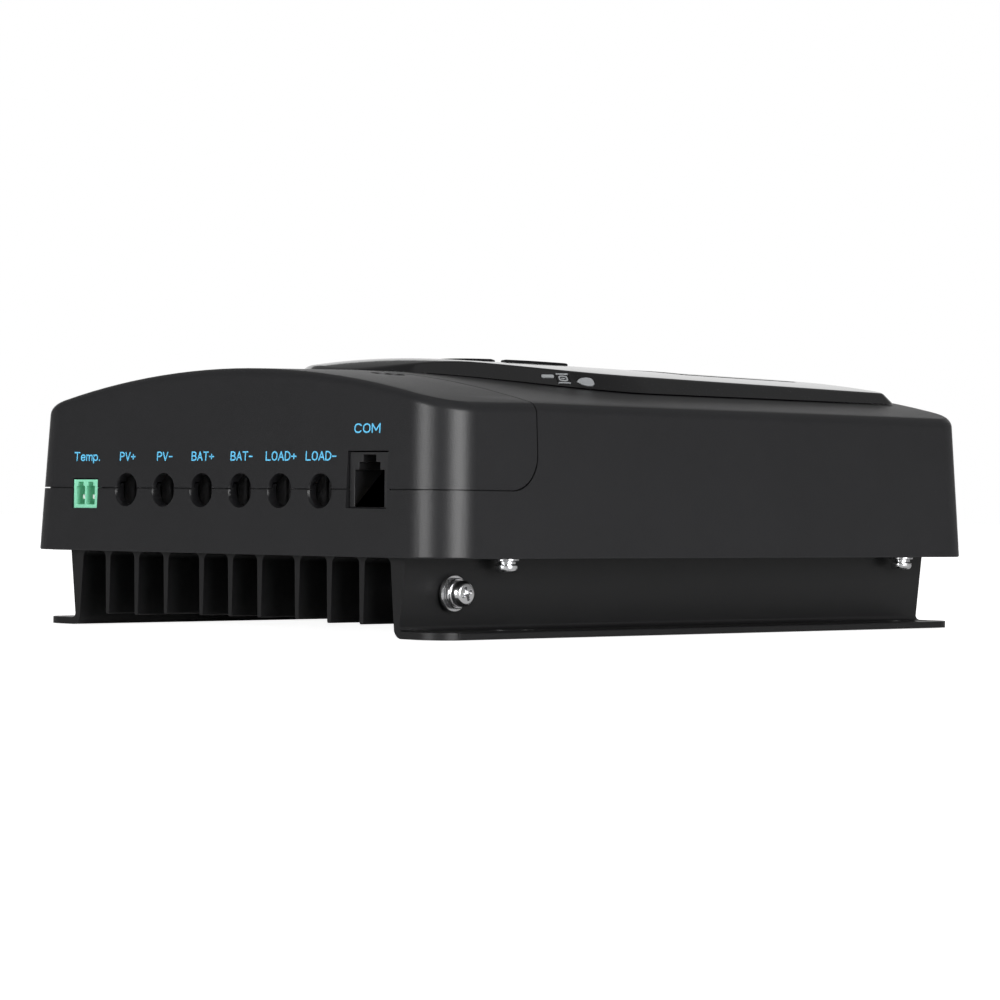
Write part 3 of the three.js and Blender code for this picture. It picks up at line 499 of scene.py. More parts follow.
def front_cuts():
    """Cutters for the openings in the front wall. The cable entries' rims are broken by a steep chamfer."""
    tools = [round_bar("y", (x, ENTRY_Z), -FAR, ENTRY_BACK_Y, ENTRY_RADIUS, 64) for x in POLES]
    rim_y = wall_y(ENTRY_Z) + ENTRY_RIM_SINK
    wide = ENTRY_RADIUS + ENTRY_RIM_WIDTH
    rim_profile = [(0, 0), (ENTRY_RADIUS, 0), (wide, ENTRY_RIM_DEPTH), (wide, 2), (0, 2)]
    forwards = Matrix.Rotation(math.pi / 2, 4, "X")
    for x in POLES:
        tools.append(placed(turned(rim_profile, 64), stand_at(x, rim_y, ENTRY_Z, forwards)))
    jack = (JACK_HIGH.x - JACK_LOW.x) / 2 + JACK_GAP
    header = (HEADER_HIGH.x - HEADER_LOW.x) / 2 + FRONT_GAP
    floor, top = JACK_BASE_Z - JACK_GAP, JACK_HIGH.z + FRONT_GAP
    tools.append(block(JACK_X - jack, JACK_X + jack, -FAR, SOCKET_BACK_Y, floor, top))
    top = HEADER_HIGH.z + FRONT_GAP
    tools.append(block(HEADER_X - header, HEADER_X + header, -FAR, SOCKET_BACK_Y, BOARD_TOP_Z, top))
    return tools


def seam_lip(low, high, near, far):
    """A band of the case's wall between two insets, running along the seam inside the cover's edge."""
    band = cut(case_body(low, RIM_Z - 1, 1, False, 12), case_body(high, RIM_Z - 2, 1, False, 12))
    keep(band, cover_space(near))
    return cut(band, cover_space(far))


def cover_space(gap):
    """The room that the cover fills: everything in front of the seam and above the parting line."""
    back = SEAM_Y - gap
    floor = PARTING_Z + gap
    bend = arc(back - SEAM_CORNER, floor + SEAM_CORNER, SEAM_CORNER, -90, 0, 16)
    return prism([(-FAR, FAR), (-FAR, floor), *bend, (back, FAR)], "x", -FAR, FAR)


def cover_post(x):
    """A post on the bulkhead that a cover screw goes into."""
    post = round_bar("z", (x, COVER_SCREW_Y), POST_FOOT_Z, POST_TOP_Z, POST_RADIUS)
    web = block(x - POST_WEB, x + POST_WEB, COVER_SCREW_Y, BULKHEAD_Y + 1, POST_FOOT_Z, POST_TOP_Z)
    return join(post, web)


def base_boss(x, y):
    """A boss in the corner of the case, tied to the side wall, that a base screw goes into."""
    low = PLATE_TOP_Z + 0.3
    wall = math.copysign(HALF_X - 1, x)
    boss = round_bar("z", (x, y), low, BOSS_TOP_Z, POST_RADIUS)
    return join(boss, block(min(x, wall), max(x, wall), y - POST_WEB, y + POST_WEB, low, BOSS_TOP_Z))


def roof_mouth(inset):
    """A cutter for the opening in the roof under the display panel."""
    radius = PANEL_RADIUS - inset
    outline = arc(0, PANEL_CENTRE_Y, radius, 180, 360, 48)
    back = PANEL_BACK_Y - inset
    return prism(outline + [(radius, back), (-radius, back)], "z", CREST_Z - 9, FAR)


def header_sill():
    """Closes the seam's gap right beside the pin header, so that the header doesn't show through it."""
    x, y = HEADER_HIGH.x + FRONT_GAP, wall_y(PARTING_Z) + 0.4
    return block(x - 1, x + 1.4, y, y + 2, PARTING_Z - 0.6, PARTING_Z + 0.25)


def build_housing(materials):
    keepers = [block(-FAR, FAR, BULKHEAD_Y, BULKHEAD_Y + WALL, BOARD_TOP_Z + 1.3, FAR)]
    keepers += [cover_post(x) for x in COVER_SCREW_PLACES]
    keepers += [base_boss(x, y) for x, y in BASE_SCREWS]
    for x0, x1 in ((-FAR, -LEDGE_X), (LEDGE_X, FAR)):
        keepers.append(block(x0, x1, -FAR, FAR, RIM_Z - 2, RIM_Z + LEDGE))
    hollow = cut(case_body(WALL, RIM_Z - 1, 1, False, 8), *keepers)
    posts = [cover_post(x) for x in COVER_SCREW_PLACES]
    space = cut(cover_space(0), *posts)
    spots = [(x, COVER_SCREW_Y) for x in COVER_SCREW_PLACES]
    bores = [round_bar("z", spot, 47.5, 60, POST_BORE_RADIUS, 24) for spot in spots]
    bores += [round_bar("z", spot, 20, 33, BOSS_BORE_RADIUS, 24) for spot in BASE_SCREWS]
    housing = case_body(0, RIM_Z, SHOULDER_FILLET, False, 16)
    cut(housing, hollow, space)
    join(housing, seam_lip(LIP_OUTER, LIP_INNER, -0.6, LIP_REACH))
    join(housing, header_sill())
    cut(housing, roof_mouth(5), *bores, *front_cuts())
    merge_flat(housing)
    ease(housing, EASE)
    return finished(housing, "housing_shell", materials["charcoal"], "chassis",
                    ["main_housing"])


def build_cover(materials):
    spots = [(x, COVER_SCREW_Y) for x in COVER_SCREW_PLACES]
    cup_radius = RECESS_RADIUS + RECESS_WALL
    cups = [round_bar("z", spot, RECESS_FLOOR_Z - 2, FAR, cup_radius) for spot in spots]
    wells = [round_bar("z", spot, RECESS_FLOOR_Z, FAR, RECESS_RADIUS) for spot in spots]
    holes = [round_bar("z", spot, 50, FAR, 1.8, 24) for spot in spots]
    hollow = cut(case_body(WALL, RIM_Z - 1, 1, True, 8), *cups)
    cover = keep(case_body(0, RIM_Z, SHOULDER_FILLET, True, 16), cover_space(SEAM_GAP))
    groove = seam_lip(LIP_OUTER - 0.25, WALL + 1, -1, LIP_REACH + 0.4)
    cut(cover, hollow, groove, *wells, *holes, *front_cuts())
    merge_flat(cover)
    ease(cover, EASE)
    return finished(cover, "cover_shell", materials["charcoal"], "cover",
                    ["terminal_cover"])


# ---- Heat sink ----

FIN_PLACES = [-45.8, -34.8, -23.7, -10.5, 0, 10.5, 23.7, 34.8, 45.8]
SHORT_FIN_HALF_X = 24
FLANGE_CORNER = 7.5
KEYHOLE_RADIUS = 3.7
KEYHOLE_SLOT_RADIUS = 2.2
KEYHOLE_REACH = 8
ROOT_RADIUS = 1.6
PLATE_HOLE_RADIUS = 1.6
GROUND_SPOT = (-80.7, 10.4)
GROUND_HOLE_RADIUS = 2.2


def fin_side(x, side, tip):
    """Points up one flank of a fin, from its rounded tip to the hollow at its root."""
    root = x + side * 0.9
    foot = arc(root + side * ROOT_RADIUS, PLATE_BOTTOM_Z - ROOT_RADIUS, ROOT_RADIUS,
               180 if side > 0 else 0, 90, 6)
    nose = arc(x + side * 0.2, tip + 0.4, 0.4, 270, 360 if side > 0 else 180, 3)
    return nose + foot


def sink_outline():
    """The extrusion's section, from the left flange along the fins to the right one and back on top."""
    wall_in, wall_out, foot_in, foot_out = 55.4, 60.2, 56.6, 58.4
    flange, heel = SINK_HIGH.x, 2.5

    def side(sign):
        root = arc(wall_in - ROOT_RADIUS, PLATE_BOTTOM_Z - ROOT_RADIUS, ROOT_RADIUS, 90, 0, 6)
        points = [
            *root,
            *arc(foot_in + heel, heel, heel, 180, 270, 8),
            *arc(flange - 0.4, 0.4, 0.4, 270, 360, 3),
            *arc(flange - 0.4, 1.3, 0.4, 0, 90, 3),
            *arc(foot_out + 1.2, 2.9, 1.2, 270, 180, 5),
            (wall_out, PLATE_BOTTOM_Z),
            (PLATE_HALF_X, PLATE_BOTTOM_Z),
            (PLATE_HALF_X, PLATE_TOP_Z),
        ]
        return [(sign * u, v) for u, v in points]

    under = []
    for x in FIN_PLACES:
        tip = 3.6 if abs(x) < SHORT_FIN_HALF_X else 3
        under += fin_side(x, -1, tip)[::-1] + fin_side(x, 1, tip)
    return side(-1)[::-1] + under + side(1)


def flange_corner(side_x, side_y):
    """What comes off one corner of a flange to leave it round in plan."""
    x = side_x * (SINK_HIGH.x - FLANGE_CORNER)
    y = side_y * (SINK_HIGH.y - FLANGE_CORNER)
    ends = sorted((x, x + side_x * (FLANGE_CORNER + 1)))
    sides = sorted((y, y + side_y * (FLANGE_CORNER + 1)))
    return cut(block(*ends, *sides, -1, 3), round_bar("z", (x, y), -2, 4, FLANGE_CORNER, 96))


def keyhole(x, y):
    """A cutter for a keyhole: a round hole with a slot towards +Y."""
    end = y + KEYHOLE_REACH
    slot = block(x - KEYHOLE_SLOT_RADIUS, x + KEYHOLE_SLOT_RADIUS, y, end, -1, 3)
    hole = round_bar("z", (x, y), -1, 3, KEYHOLE_RADIUS)
    return join(hole, slot, round_bar("z", (x, end), -1, 3, KEYHOLE_SLOT_RADIUS, 32))


def build_sink(materials):
    sink = prism(sink_outline(), "y", SINK_LOW.y, SINK_HIGH.y)
    tools = [keyhole(x, y) for x, y in BASE_SCREWS]
    tools += [round_bar("z", spot, 15, 25, PLATE_HOLE_RADIUS, 24) for spot in BASE_SCREWS]
    tools += [flange_corner(math.copysign(1, x), math.copysign(1, y)) for x, y in BASE_SCREWS]
    tools.append(round_bar("x", GROUND_SPOT, 50, 65, GROUND_HOLE_RADIUS, 32))
    cut(sink, *tools)
    merge_flat(sink)
    ease(sink, 0.15, 1, 50)
    return finished(sink, "sink_extrusion", materials["sink"], "chassis", ["heat_sink"])


# ---- Display panel ----

def panel_crest(y):
    behind = max(y - PANEL_PEAK_Y, 0)
    ahead = max(PANEL_NOSE_Y - y, 0)
    return PANEL_PEAK_Z - behind * PANEL_BACK_SLOPE - ahead * ahead / (2 * PANEL_NOSE_RADIUS)


def panel_top(x, y, offset=0):
    return arch_height(x, panel_crest(y)) + offset


def panel_outline(inset, steps):
    radius = PANEL_RADIUS - inset
    back = PANEL_BACK_Y - inset
    corner = max(PANEL_CORNER - inset, 0.8)
    front = arc(0, PANEL_CENTRE_Y, radius, 180, 360, steps * 4)
    side = 24
    right = [(radius, PANEL_CENTRE_Y + (back - corner - PANEL_CENTRE_Y) * i / side) for i in range(1, side)]
    turn = arc(radius - corner, back - corner, corner, 0, 90, steps)
    rear = [((radius - corner) * (1 - 2 * i / side), back) for i in range(1, side)]
    other = arc(corner - radius, back - corner, corner, 90, 180, steps)
    left = [(-x, y) for x, y in right[::-1]]
    return front + right + turn + rear + other + left


def panel_body(inset, drop, fillet, steps=12):
    """The raised panel filled solid: a rim at 45 degrees, a rounded edge and a crowned top."""
    rings = [[(x, y, PANEL_FOOT_Z - 4) for x, y in panel_outline(inset - 4, steps)]]
    turns = 5
    for k in range(turns + 1):
        rings.append(edge_ring(inset, drop, fillet, k / turns, steps))
    edge = rings[-1]
    for share in (0.985, 0.97, 0.95, 0.93, 0.905, 0.88, 0.85, 0.8, 0.7, 0.6, 0.5, 0.4, 0.3, 0.2, 0.1, 0.02):
        plan = [(x * share, 10 + (y - 10) * share) for x, y, _ in edge]
        rings.append([(x, y, panel_top(x, y, -drop)) for x, y in plan])
    return loft(rings)


def edge_ring(inset, drop, fillet, part, steps):
    """One ring of the rounded edge where the sloping rim turns into the crowned top."""
    slope = math.radians(45)
    reach = fillet * math.tan(slope / 2)
    ring = []
    for (x, y), (ix, iy) in zip(panel_outline(inset, steps), panel_outline(inset + 1, steps)):
        size = math.hypot(ix - x, iy - y) or 1
        nx, ny = (ix - x) / size, (iy - y) / size
        climb = 0
        for _ in range(24):
            climb = panel_top(x + nx * climb, y + ny * climb, -drop) - PANEL_FOOT_Z
        start = climb - reach * math.cos(slope)
        swing = slope * part
        across = start + fillet * (math.sin(slope) - math.sin(slope - swing))
        up = start + fillet * (math.cos(slope - swing) - math.cos(slope))
        last = start + fillet * math.sin(slope)
        miss = panel_top(x + nx * last, y + ny * last, -drop) - PANEL_FOOT_Z - start
        miss -= fillet * (1 - math.cos(slope))
        ring.append((x + nx * across, y + ny * across, PANEL_FOOT_Z + up + miss * part**2))
    return ring


def key_sector(degrees, inner, outer, half_angle, z0, z1, steps=20):
    """A sector of the keys' ring with upright sides."""
    half = math.degrees(half_angle)
    outline = arc(0, KEY_CENTRE_Y, outer, degrees - half, degrees + half, steps)
    outline += arc(0, KEY_CENTRE_Y, inner, degrees + half, degrees - half, steps)
    return prism(outline, "z", z0, z1)


def lamp_frame(name):
    """Where a lamp sits on the sloped rim, with X pointing out of it."""
    angle, z = LAMPS[name][:2]
    place = Matrix.Translation((0, PANEL_CENTRE_Y, 0))
    place @= Matrix.Rotation(math.radians(angle), 4, "Z")
    place @= Matrix.Translation((PANEL_RADIUS - (z - PANEL_FOOT_Z), 0, z))
    return place @ Matrix.Rotation(math.radians(-45), 4, "Y")


def lamp_mouth(name):
    """A cutter a hair wider than the lamp's own sign, so that the sign sits flush in the rim."""
    return placed(prism(lamp_sign(name, LAMP_FIT / 2), "x", -6, 3), lamp_frame(name))


def lcd_opening(inset, z0, z1):
    x0, x1, y0, y1 = LCD_PLAN
    return prism(rounded(x0 + inset, x1 - inset, y0 + inset, y1 - inset, LCD_CORNER), "z", z0, z1)


def roof_below(crest):
    """Everything under an arched roof of the given crest height."""
    half = HALF_X + 8
    top = [(x, arch_height(x, crest)) for x in np.linspace(half, -half, 41)]
    return prism([(-half, 0), (half, 0), *top], "y", -FAR, FAR)


def build_panel(materials):
    panel = panel_body(0, 0, 1.6)
    tools = [panel_body(PANEL_WALL * math.sqrt(2), PANEL_WALL, 0.6)]
    tools.append(roof_below(CREST_Z + ROOF_GAP))
    for degrees in KEY_ANGLES.values():
        wider = KEY_HALF_ANGLE + KEY_FIT / KEY_OUTER
        tools.append(key_sector(degrees, KEY_INNER - KEY_FIT, KEY_OUTER + KEY_FIT, wider, 60, 75))
    tools += [lamp_mouth(name) for name in LAMPS]
    tools.append(lcd_opening(0, 55, 75))
    cut(panel, *tools)
    merge_flat(panel)
    ease(panel, 0.15)
    return finished(panel, "panel_shell", materials["panel"], "chassis", ["display_panel"])


def key_body(degrees):
    """A ring sector with flat flanks and a rounded top edge that follows the panel's crown."""
    half = math.degrees(KEY_HALF_ANGLE)
    fillet = 0.35
    turns = 4

    def outline(extra):
        spread_out = math.degrees(extra / KEY_OUTER)
        spread_in = math.degrees(extra / KEY_INNER)
        outer = arc(0, KEY_CENTRE_Y, KEY_OUTER - extra, degrees - half + spread_out,
                    degrees + half - spread_out, 24)
        inner = arc(0, KEY_CENTRE_Y, KEY_INNER + extra, degrees + half - spread_in,
                    degrees - half + spread_in, 24)
        return outer + inner

    rings = [[(x, y, KEY_FLANGE_Z[0]) for x, y in outline(0)]]
    for k in range(turns + 1):
        swing = math.radians(90 * k / turns)
        extra, drop = fillet * (1 - math.cos(swing)), fillet * (1 - math.sin(swing))
        rings.append([(x, y, panel_top(x, y, KEY_PROUD) - drop) for x, y in outline(extra)])
    return loft(rings)


def build_keys(materials):
    for name, degrees in KEY_ANGLES.items():
        cap = key_body(degrees)
        flange = key_sector(degrees, KEY_INNER - 1, KEY_OUTER + 1, KEY_HALF_ANGLE, *KEY_FLANGE_Z)
        stem = key_sector(degrees, KEY_INNER + 2, KEY_OUTER - 2, KEY_HALF_ANGLE - 0.15, *KEY_STEM_Z)
        join(cap, flange, stem)
        finished(cap, name + "_cap", materials["key"], name, [name])


def build_lens(materials):
    x0, x1, y0, y1 = LCD_PLAN
    rings = []
    for offset, inset in ((LENS_BOTTOM, 0.3), (0.02, 0.3), (0.09, 0.4), (LENS_TOP, 0.7)):
        outline = rounded(x0 + inset, x1 - inset, y0 + inset, y1 - inset, LCD_CORNER)
        dense = []
        for (ax, ay), (bx, by) in zip(outline, outline[1:] + outline[:1]):
            parts = max(1, round(math.hypot(bx - ax, by - ay) / 3))
            dense += [(ax + (bx - ax) * i / parts, ay + (by - ay) * i / parts) for i in range(parts)]
        rings.append([(x, y, panel_top(x, y, offset)) for x, y in dense])
    middle = (y0 + y1) / 2
    for share in (0.8, 0.5, 0.2, 0.02):
        plan = [(x * share, middle + (y - middle) * share) for x, y, _ in rings[3]]
        rings.append([(x, y, panel_top(x, y, LENS_TOP)) for x, y in plan])
        rings.insert(0, [(x, y, panel_top(x, y, LENS_BOTTOM)) for x, y in plan])
    finished(loft(rings), "display_lens", materials["lens"], "chassis", ["lcd_window"])


# ---- Lamps ----

def lamp_sign(name, grow=0.0):
    """The outline of a lamp: a dash, a square with a battery sign in it, or a pear-shaped bulb."""
    _, _, half_u, half_v = LAMPS[name]
    u, v = half_u + grow, half_v + grow
    if name == "lamp_solar":
        return rounded(-u, u, -v, v, v * 0.9, 6)
    if name == "lamp_battery":
        return rounded(-u, u, -v, v, 0.3, 4)
    upper = [(-u, 0.06), (-0.75 * u, 0.42 * v), (-0.35 * u, 0.78 * v), (0.1 * u, 0.98 * v), (0.45 * u, v)]
    upper += [(0.75 * u, 0.88 * v), (0.93 * u, 0.62 * v), (u, 0.25 * v)]
    return upper + [(u_at, -v_at) for u_at, v_at in upper[::-1]]


def sign_ring(half_u, half_v, width):
    ring = prism(rounded(-half_u, half_u, -half_v, half_v, 0.6, 5), "x", -0.3, 0.15)
    inner = rounded(width - half_u, half_u - width, width - half_v, half_v - width, 0.3, 4)
    return cut(ring, prism(inner, "x", -1, 1))


def build_lamps(materials):
    for name in LAMPS:
        signed = name == "lamp_battery"
        lens = prism(lamp_sign(name), "x", -1.1, 0.02 if signed else 0.15)
        ease(lens, 0.06, 2, 50)
        placed(lens, lamp_frame(name))
        cut(lens, roof_below(CREST_Z + ROOF_GAP))
        look = materials["panel" if signed else "lamp"]
        finished(lens, name + "_lens", look, "chassis", [name])
    _, _, half_u, half_v = LAMPS["lamp_battery"]
    bars = [prism(rounded(-half_u, half_u, v - 0.19, v + 0.19, 0.15, 3), "x", -0.3, 0.15)
            for v in (0.25 - half_v, half_v - 0.25)]
    marks = {"outline": sign_ring(1.15, 0.95, 0.36), "lower_bar": bars[0], "upper_bar": bars[1],
             "core": prism(rounded(-0.5, 0.5, -0.17, 0.17, 0.15, 3), "x", -0.3, 0.12)}
    for mark, piece in marks.items():
        placed(piece, lamp_frame("lamp_battery"))
        finished(piece, "battery_sign_" + mark, materials["lamp"], "chassis")


# ---- Labels on the cover ----

GLYPHS = {
    "T": [[(0, 1), (0.6, 1)], [(0.3, 1), (0.3, 0)]],
    "P": [[(0, 0), (0, 1), (0.34, 1), (0.5, 0.9), (0.55, 0.74), (0.5, 0.58), (0.34, 0.48), (0, 0.48)]],
    "V": [[(0, 1), (0.3, 0), (0.6, 1)]],
    "B": [
        [(0, 0), (0, 1), (0.32, 1), (0.48, 0.9), (0.5, 0.76), (0.44, 0.6), (0.32, 0.53), (0, 0.53)],
        [(0.32, 0.53), (0.5, 0.44), (0.56, 0.28), (0.5, 0.08), (0.32, 0), (0, 0)],
    ],
    "A": [[(0, 0), (0.3, 1), (0.6, 0)], [(0.1, 0.34), (0.5, 0.34)]],
    "L": [[(0, 1), (0, 0), (0.5, 0)]],
    "O": [[(0.3, 1), (0.12, 0.92), (0.02, 0.7), (0.02, 0.3), (0.12, 0.08), (0.3, 0), (0.48, 0.08),
           (0.58, 0.3), (0.58, 0.7), (0.48, 0.92), (0.3, 1)]],
    "D": [[(0, 0), (0, 1), (0.25, 1), (0.45, 0.88), (0.55, 0.66), (0.55, 0.34), (0.45, 0.12),
           (0.25, 0), (0, 0)]],
    "C": [[(0.56, 0.82), (0.45, 0.95), (0.3, 1), (0.12, 0.92), (0.02, 0.7), (0.02, 0.3), (0.12, 0.08),
           (0.3, 0), (0.45, 0.05), (0.56, 0.18)]],
    "M": [[(0, 0), (0, 1), (0.33, 0.25), (0.66, 1), (0.66, 0)]],
    "e": [[(0.03, 0.36), (0.47, 0.36), (0.45, 0.56), (0.34, 0.68), (0.16, 0.68), (0.04, 0.54),
           (0.01, 0.34), (0.05, 0.12), (0.17, 0), (0.34, 0), (0.46, 0.12)]],
    "m": [[(0, 0), (0, 0.68)], [(0, 0.5), (0.12, 0.66), (0.26, 0.66), (0.34, 0.52), (0.34, 0)],
          [(0.34, 0.5), (0.46, 0.66), (0.6, 0.66), (0.68, 0.52), (0.68, 0)]],
    "p": [[(0, -0.3), (0, 0.68)], [(0, 0.5), (0.14, 0.67), (0.3, 0.68), (0.44, 0.54), (0.47, 0.34),
          (0.44, 0.12), (0.3, 0), (0.14, 0.01), (0, 0.16)]],
    ".": [[(0.05, 0), (0.05, 0.06)]],
    "+": [[(0, 0.45), (0.52, 0.45)], [(0.26, 0.72), (0.26, 0.18)]],
    "-": [[(0, 0.45), (0.4, 0.45)]],
}
CAP = 1.95
STROKE = 0.33
LETTER_GAP = 0.2


def glyph_width(letter):
    return max(u for line in GLYPHS[letter] for u, v in line)


def stroke_outlines(points):
    """Flat strokes with round ends, one along each stretch of a line of points."""
    half = STROKE / 2
    outlines = []
    for a, b in zip(points, points[1:]):
        turn = math.degrees(math.atan2(b[1] - a[1], b[0] - a[0]))
        head = arc(b[0], b[1], half, turn - 90, turn + 90, 6)
        outlines.append(head + arc(a[0], a[1], half, turn + 90, turn + 270, 6))
    return outlines


def build_label(text, low_x, high_x, base_z, materials, name):
    """Letters printed on the leaning front wall, fitted between two places across it."""
    widths = [glyph_width(letter) for letter in text]
    total = sum(widths) + LETTER_GAP * (len(text) - 1)
    scale_x = (high_x - low_x - STROKE) / total
    cursor = low_x + STROKE / 2
    points, faces = [], []
    for letter, width in zip(text, widths):
        for line in GLYPHS[letter]:
            spots = [(cursor + u * scale_x, base_z + v * CAP) for u, v in line]
            for order, outline in enumerate(stroke_outlines(spots)):
                start = len(points)
                count = len(outline)
                proud = 0.05 + 0.002 * order
                for u, v in outline:
                    points.append((u, wall_y(v) - proud, v))
                for u, v in outline:
                    points.append((u, wall_y(v) + 0.04, v))
                faces.append([start + i for i in range(count)])
                faces.append([start + count + i for i in range(count)][::-1])
                for i in range(count):
                    j = (i + 1) % count
                    faces.append([start + i, start + count + i, start + count + j, start + j])
        cursor += (width + LETTER_GAP) * scale_x
    return finished(new_piece(name, points, faces), name, materials["ink"], "cover")


LABEL_BASE_Z = 41.17
# Name, text, its left and right end across the wall, and the height of its foot.
LABELS = [
    ("label_temp", "Temp.", -56.5, -46.5, LABEL_BASE_Z),
    ("label_solar_plus", "PV+", -38.75, -32.85, LABEL_BASE_Z),
    ("label_solar_minus", "PV-", -24.7, -18.9, LABEL_BASE_Z),
    ("label_battery_plus", "BAT+", -11.85, -3.7, LABEL_BASE_Z),
    ("label_battery_minus", "BAT-", 2.35, 10.2, LABEL_BASE_Z),
    ("label_load_plus", "LOAD+", 14.85, 25.6, LABEL_BASE_Z),
    ("label_load_minus", "LOAD-", 28.8, 39.3, LABEL_BASE_Z),
    ("label_com", "COM", 44.9, 53.6, 47.55),
]


# ---- Sockets ----

def build_jack(materials):
    half = (JACK_HIGH.x - JACK_LOW.x) / 2
    z = JACK_BASE_Z
    jack = block(-half, half, JACK_LOW.y, JACK_HIGH.y, z, JACK_HIGH.z)
    mouth = block(-4.9, 4.9, -FAR, JACK_MOUTH_BACK_Y, z + 0.3, z + 8.8)
    step = block(-3.5, 3.5, -FAR, JACK_MOUTH_BACK_Y, z + 8.2, z + 10.6)
    latch = block(-2.1, 2.1, -FAR, JACK_MOUTH_BACK_Y, z + 10.2, z + 12.3)
    feet = [round_bar("z", (x, JACK_HIGH.y - 3), JACK_LOW.z, z + 1, 1.2, 24) for x in (-4.5, 4.5)]
    join(jack, *feet)
    cut(jack, join(mouth, step, latch))
    merge_flat(jack)
    ease(jack, 0.18)
    placed(jack, Matrix.Translation((JACK_X, 0, 0)))
    finished(jack, "com_jack_body", materials["resin"], "chassis", ["com_jack"])


def build_header(materials):
    half = (HEADER_HIGH.x - HEADER_LOW.x) / 2
    z = HEADER_LOW.z
    top = HEADER_HIGH.z
    header = block(-half, half, HEADER_LOW.y, HEADER_HIGH.y, z, top)
    for side in (-1, 1):
        x = side * HEADER_PITCH / 2
        cell = block(x - 1.6, x + 1.6, -FAR, HEADER_CELL_BACK_Y, z + 0.9, top - 1.6)
        keyway = block(x - 1, x + 1, -FAR, HEADER_CELL_BACK_Y, top - 2, top - 0.6)
        cut(header, join(cell, keyway))
    merge_flat(header)
    ease(header, 0.12)
    placed(header, Matrix.Translation((HEADER_X, 0, 0)))
    finished(header, "temp_header_body", materials["green"], "chassis", ["temp_header"])


# ---- Fasteners ----

def pan_profile(head_radius, head_height, shank_radius, length):
    """Half-outline of a pan-head screw, with its thread, from its tip to the top of its head."""
    profile = [(0, -length), (shank_radius * 0.7, -length)]
    pitch = shank_radius * 0.4
    turns = int((length - 0.8) / pitch)
    for k in range(turns):
        low = -length + 0.5 + k * pitch
        profile += [(shank_radius, low), (shank_radius * 0.84, low + pitch / 2)]
    profile += [(shank_radius, -0.2), (shank_radius, 0), (head_radius * 0.97, 0)]
    profile += [(head_radius, head_height * 0.06), (head_radius, head_height * 0.4)]
    for k in range(1, 8):
        swing = math.radians(90 * k / 7)
        radius = head_radius * (0.68 + 0.32 * math.cos(swing))
        profile.append((radius, head_height * (0.4 + 0.6 * math.sin(swing))))
    profile.append((0, head_height))
    return profile


def cross_recess(head_radius, head_height, angle):
    """A cutter for a cross recess: two tapering blades."""
    arm, slot = head_radius * 0.55, head_radius * 0.14
    low, high = head_height * 0.42, head_height + 0.6
    sections = ((0.45 * arm, slot * 0.7, low), (arm, slot, head_height), (arm * 1.2, slot * 1.1, high))
    blades = []
    for turn in (angle, angle + 90):
        rings = []
        for reach, width, z in sections:
            ring = [(-reach, -width), (reach, -width), (reach, width), (-reach, width)]
            rings.append([(u, v, z) for u, v in ring])
        blades.append(placed(loft(rings), Matrix.Rotation(math.radians(turn), 4, "Z")))
    return blades


def pan_screw(head_radius, head_height, shank_radius, length, angle=20):
    screw = turned(pan_profile(head_radius, head_height, shank_radius, length))
    return cut(screw, *cross_recess(head_radius, head_height, angle))


def washer(outer, inner, thickness):
    edge = thickness * 0.18
    profile = [(outer - edge, 0), (outer, edge), (outer, thickness - edge), (outer - edge, thickness)]
    ring = turned([(0, 0), *profile, (0, thickness)], 64)
    return cut(ring, round_bar("z", (0, 0), -1, thickness + 1, inner, 64))


def spring_washer(outer, inner, thickness):
    """A split ring, cut on the slant through one side."""
    slant = [(-0.6, -0.5), (0, -0.5), (0.6, thickness + 0.5), (0, thickness + 0.5)]
    ring = washer(outer, inner, thickness)
    return cut(ring, prism(slant, "y", 0, outer + 1))


BASE_SCREW_SEAT = 2.4


def build_fasteners(materials):
    zinc = materials["zinc"]
    sideways = Matrix.Rotation(math.radians(90), 4, "Y")
    parts = (
        ("ground_washer", washer(4.3, 2.3, 0.8), 59.8, "chassis"),
        ("ground_lock_washer", spring_washer(3.6, 2.3, 1.1), 60.7, "chassis"),
        ("ground_screw", pan_screw(3.1, 2.7, 1.95, 12), 61.9, "ground_screw"),
    )
    for name, piece, x, body in parts:
        placed(piece, stand_at(x, *GROUND_SPOT, sideways))
        finished(piece, name + "_turned", zinc, body, [name])
    down = Matrix.Rotation(math.pi, 4, "X")
    for index, (x, y) in enumerate(BASE_SCREWS, 1):
        name = f"base_screw_{index}"
        seat = box_mm(name)[0].z + BASE_SCREW_SEAT
        screw = pan_screw(2.7, 1.7, 1.25, 14, 30 + 25 * index)
        collar = placed(spring_washer(2.3, 1.3, 0.8), Matrix.Translation((0, 0, -0.95)))
        flat = placed(washer(3.1, 1.3, 0.5), Matrix.Translation((0, 0, -1.5)))
        for part in (screw, collar, flat):
            placed(part, stand_at(x, y, seat, down))
        finished(screw, name + "_head", zinc, "chassis", [name])
        finished(collar, name + "_spring", zinc, "chassis")
        finished(flat, name + "_flat", zinc, "chassis")
    for side, x in zip(("left", "right"), COVER_SCREW_PLACES):
        name = f"cover_screw_{side}"
        screw = pan_screw(2.8, 2.2, 1.45, 9.5, 15)
        placed(screw, stand_at(x, COVER_SCREW_Y, RECESS_FLOOR_Z + 0.1))
        finished(screw, name + "_pan", zinc, name, [name])


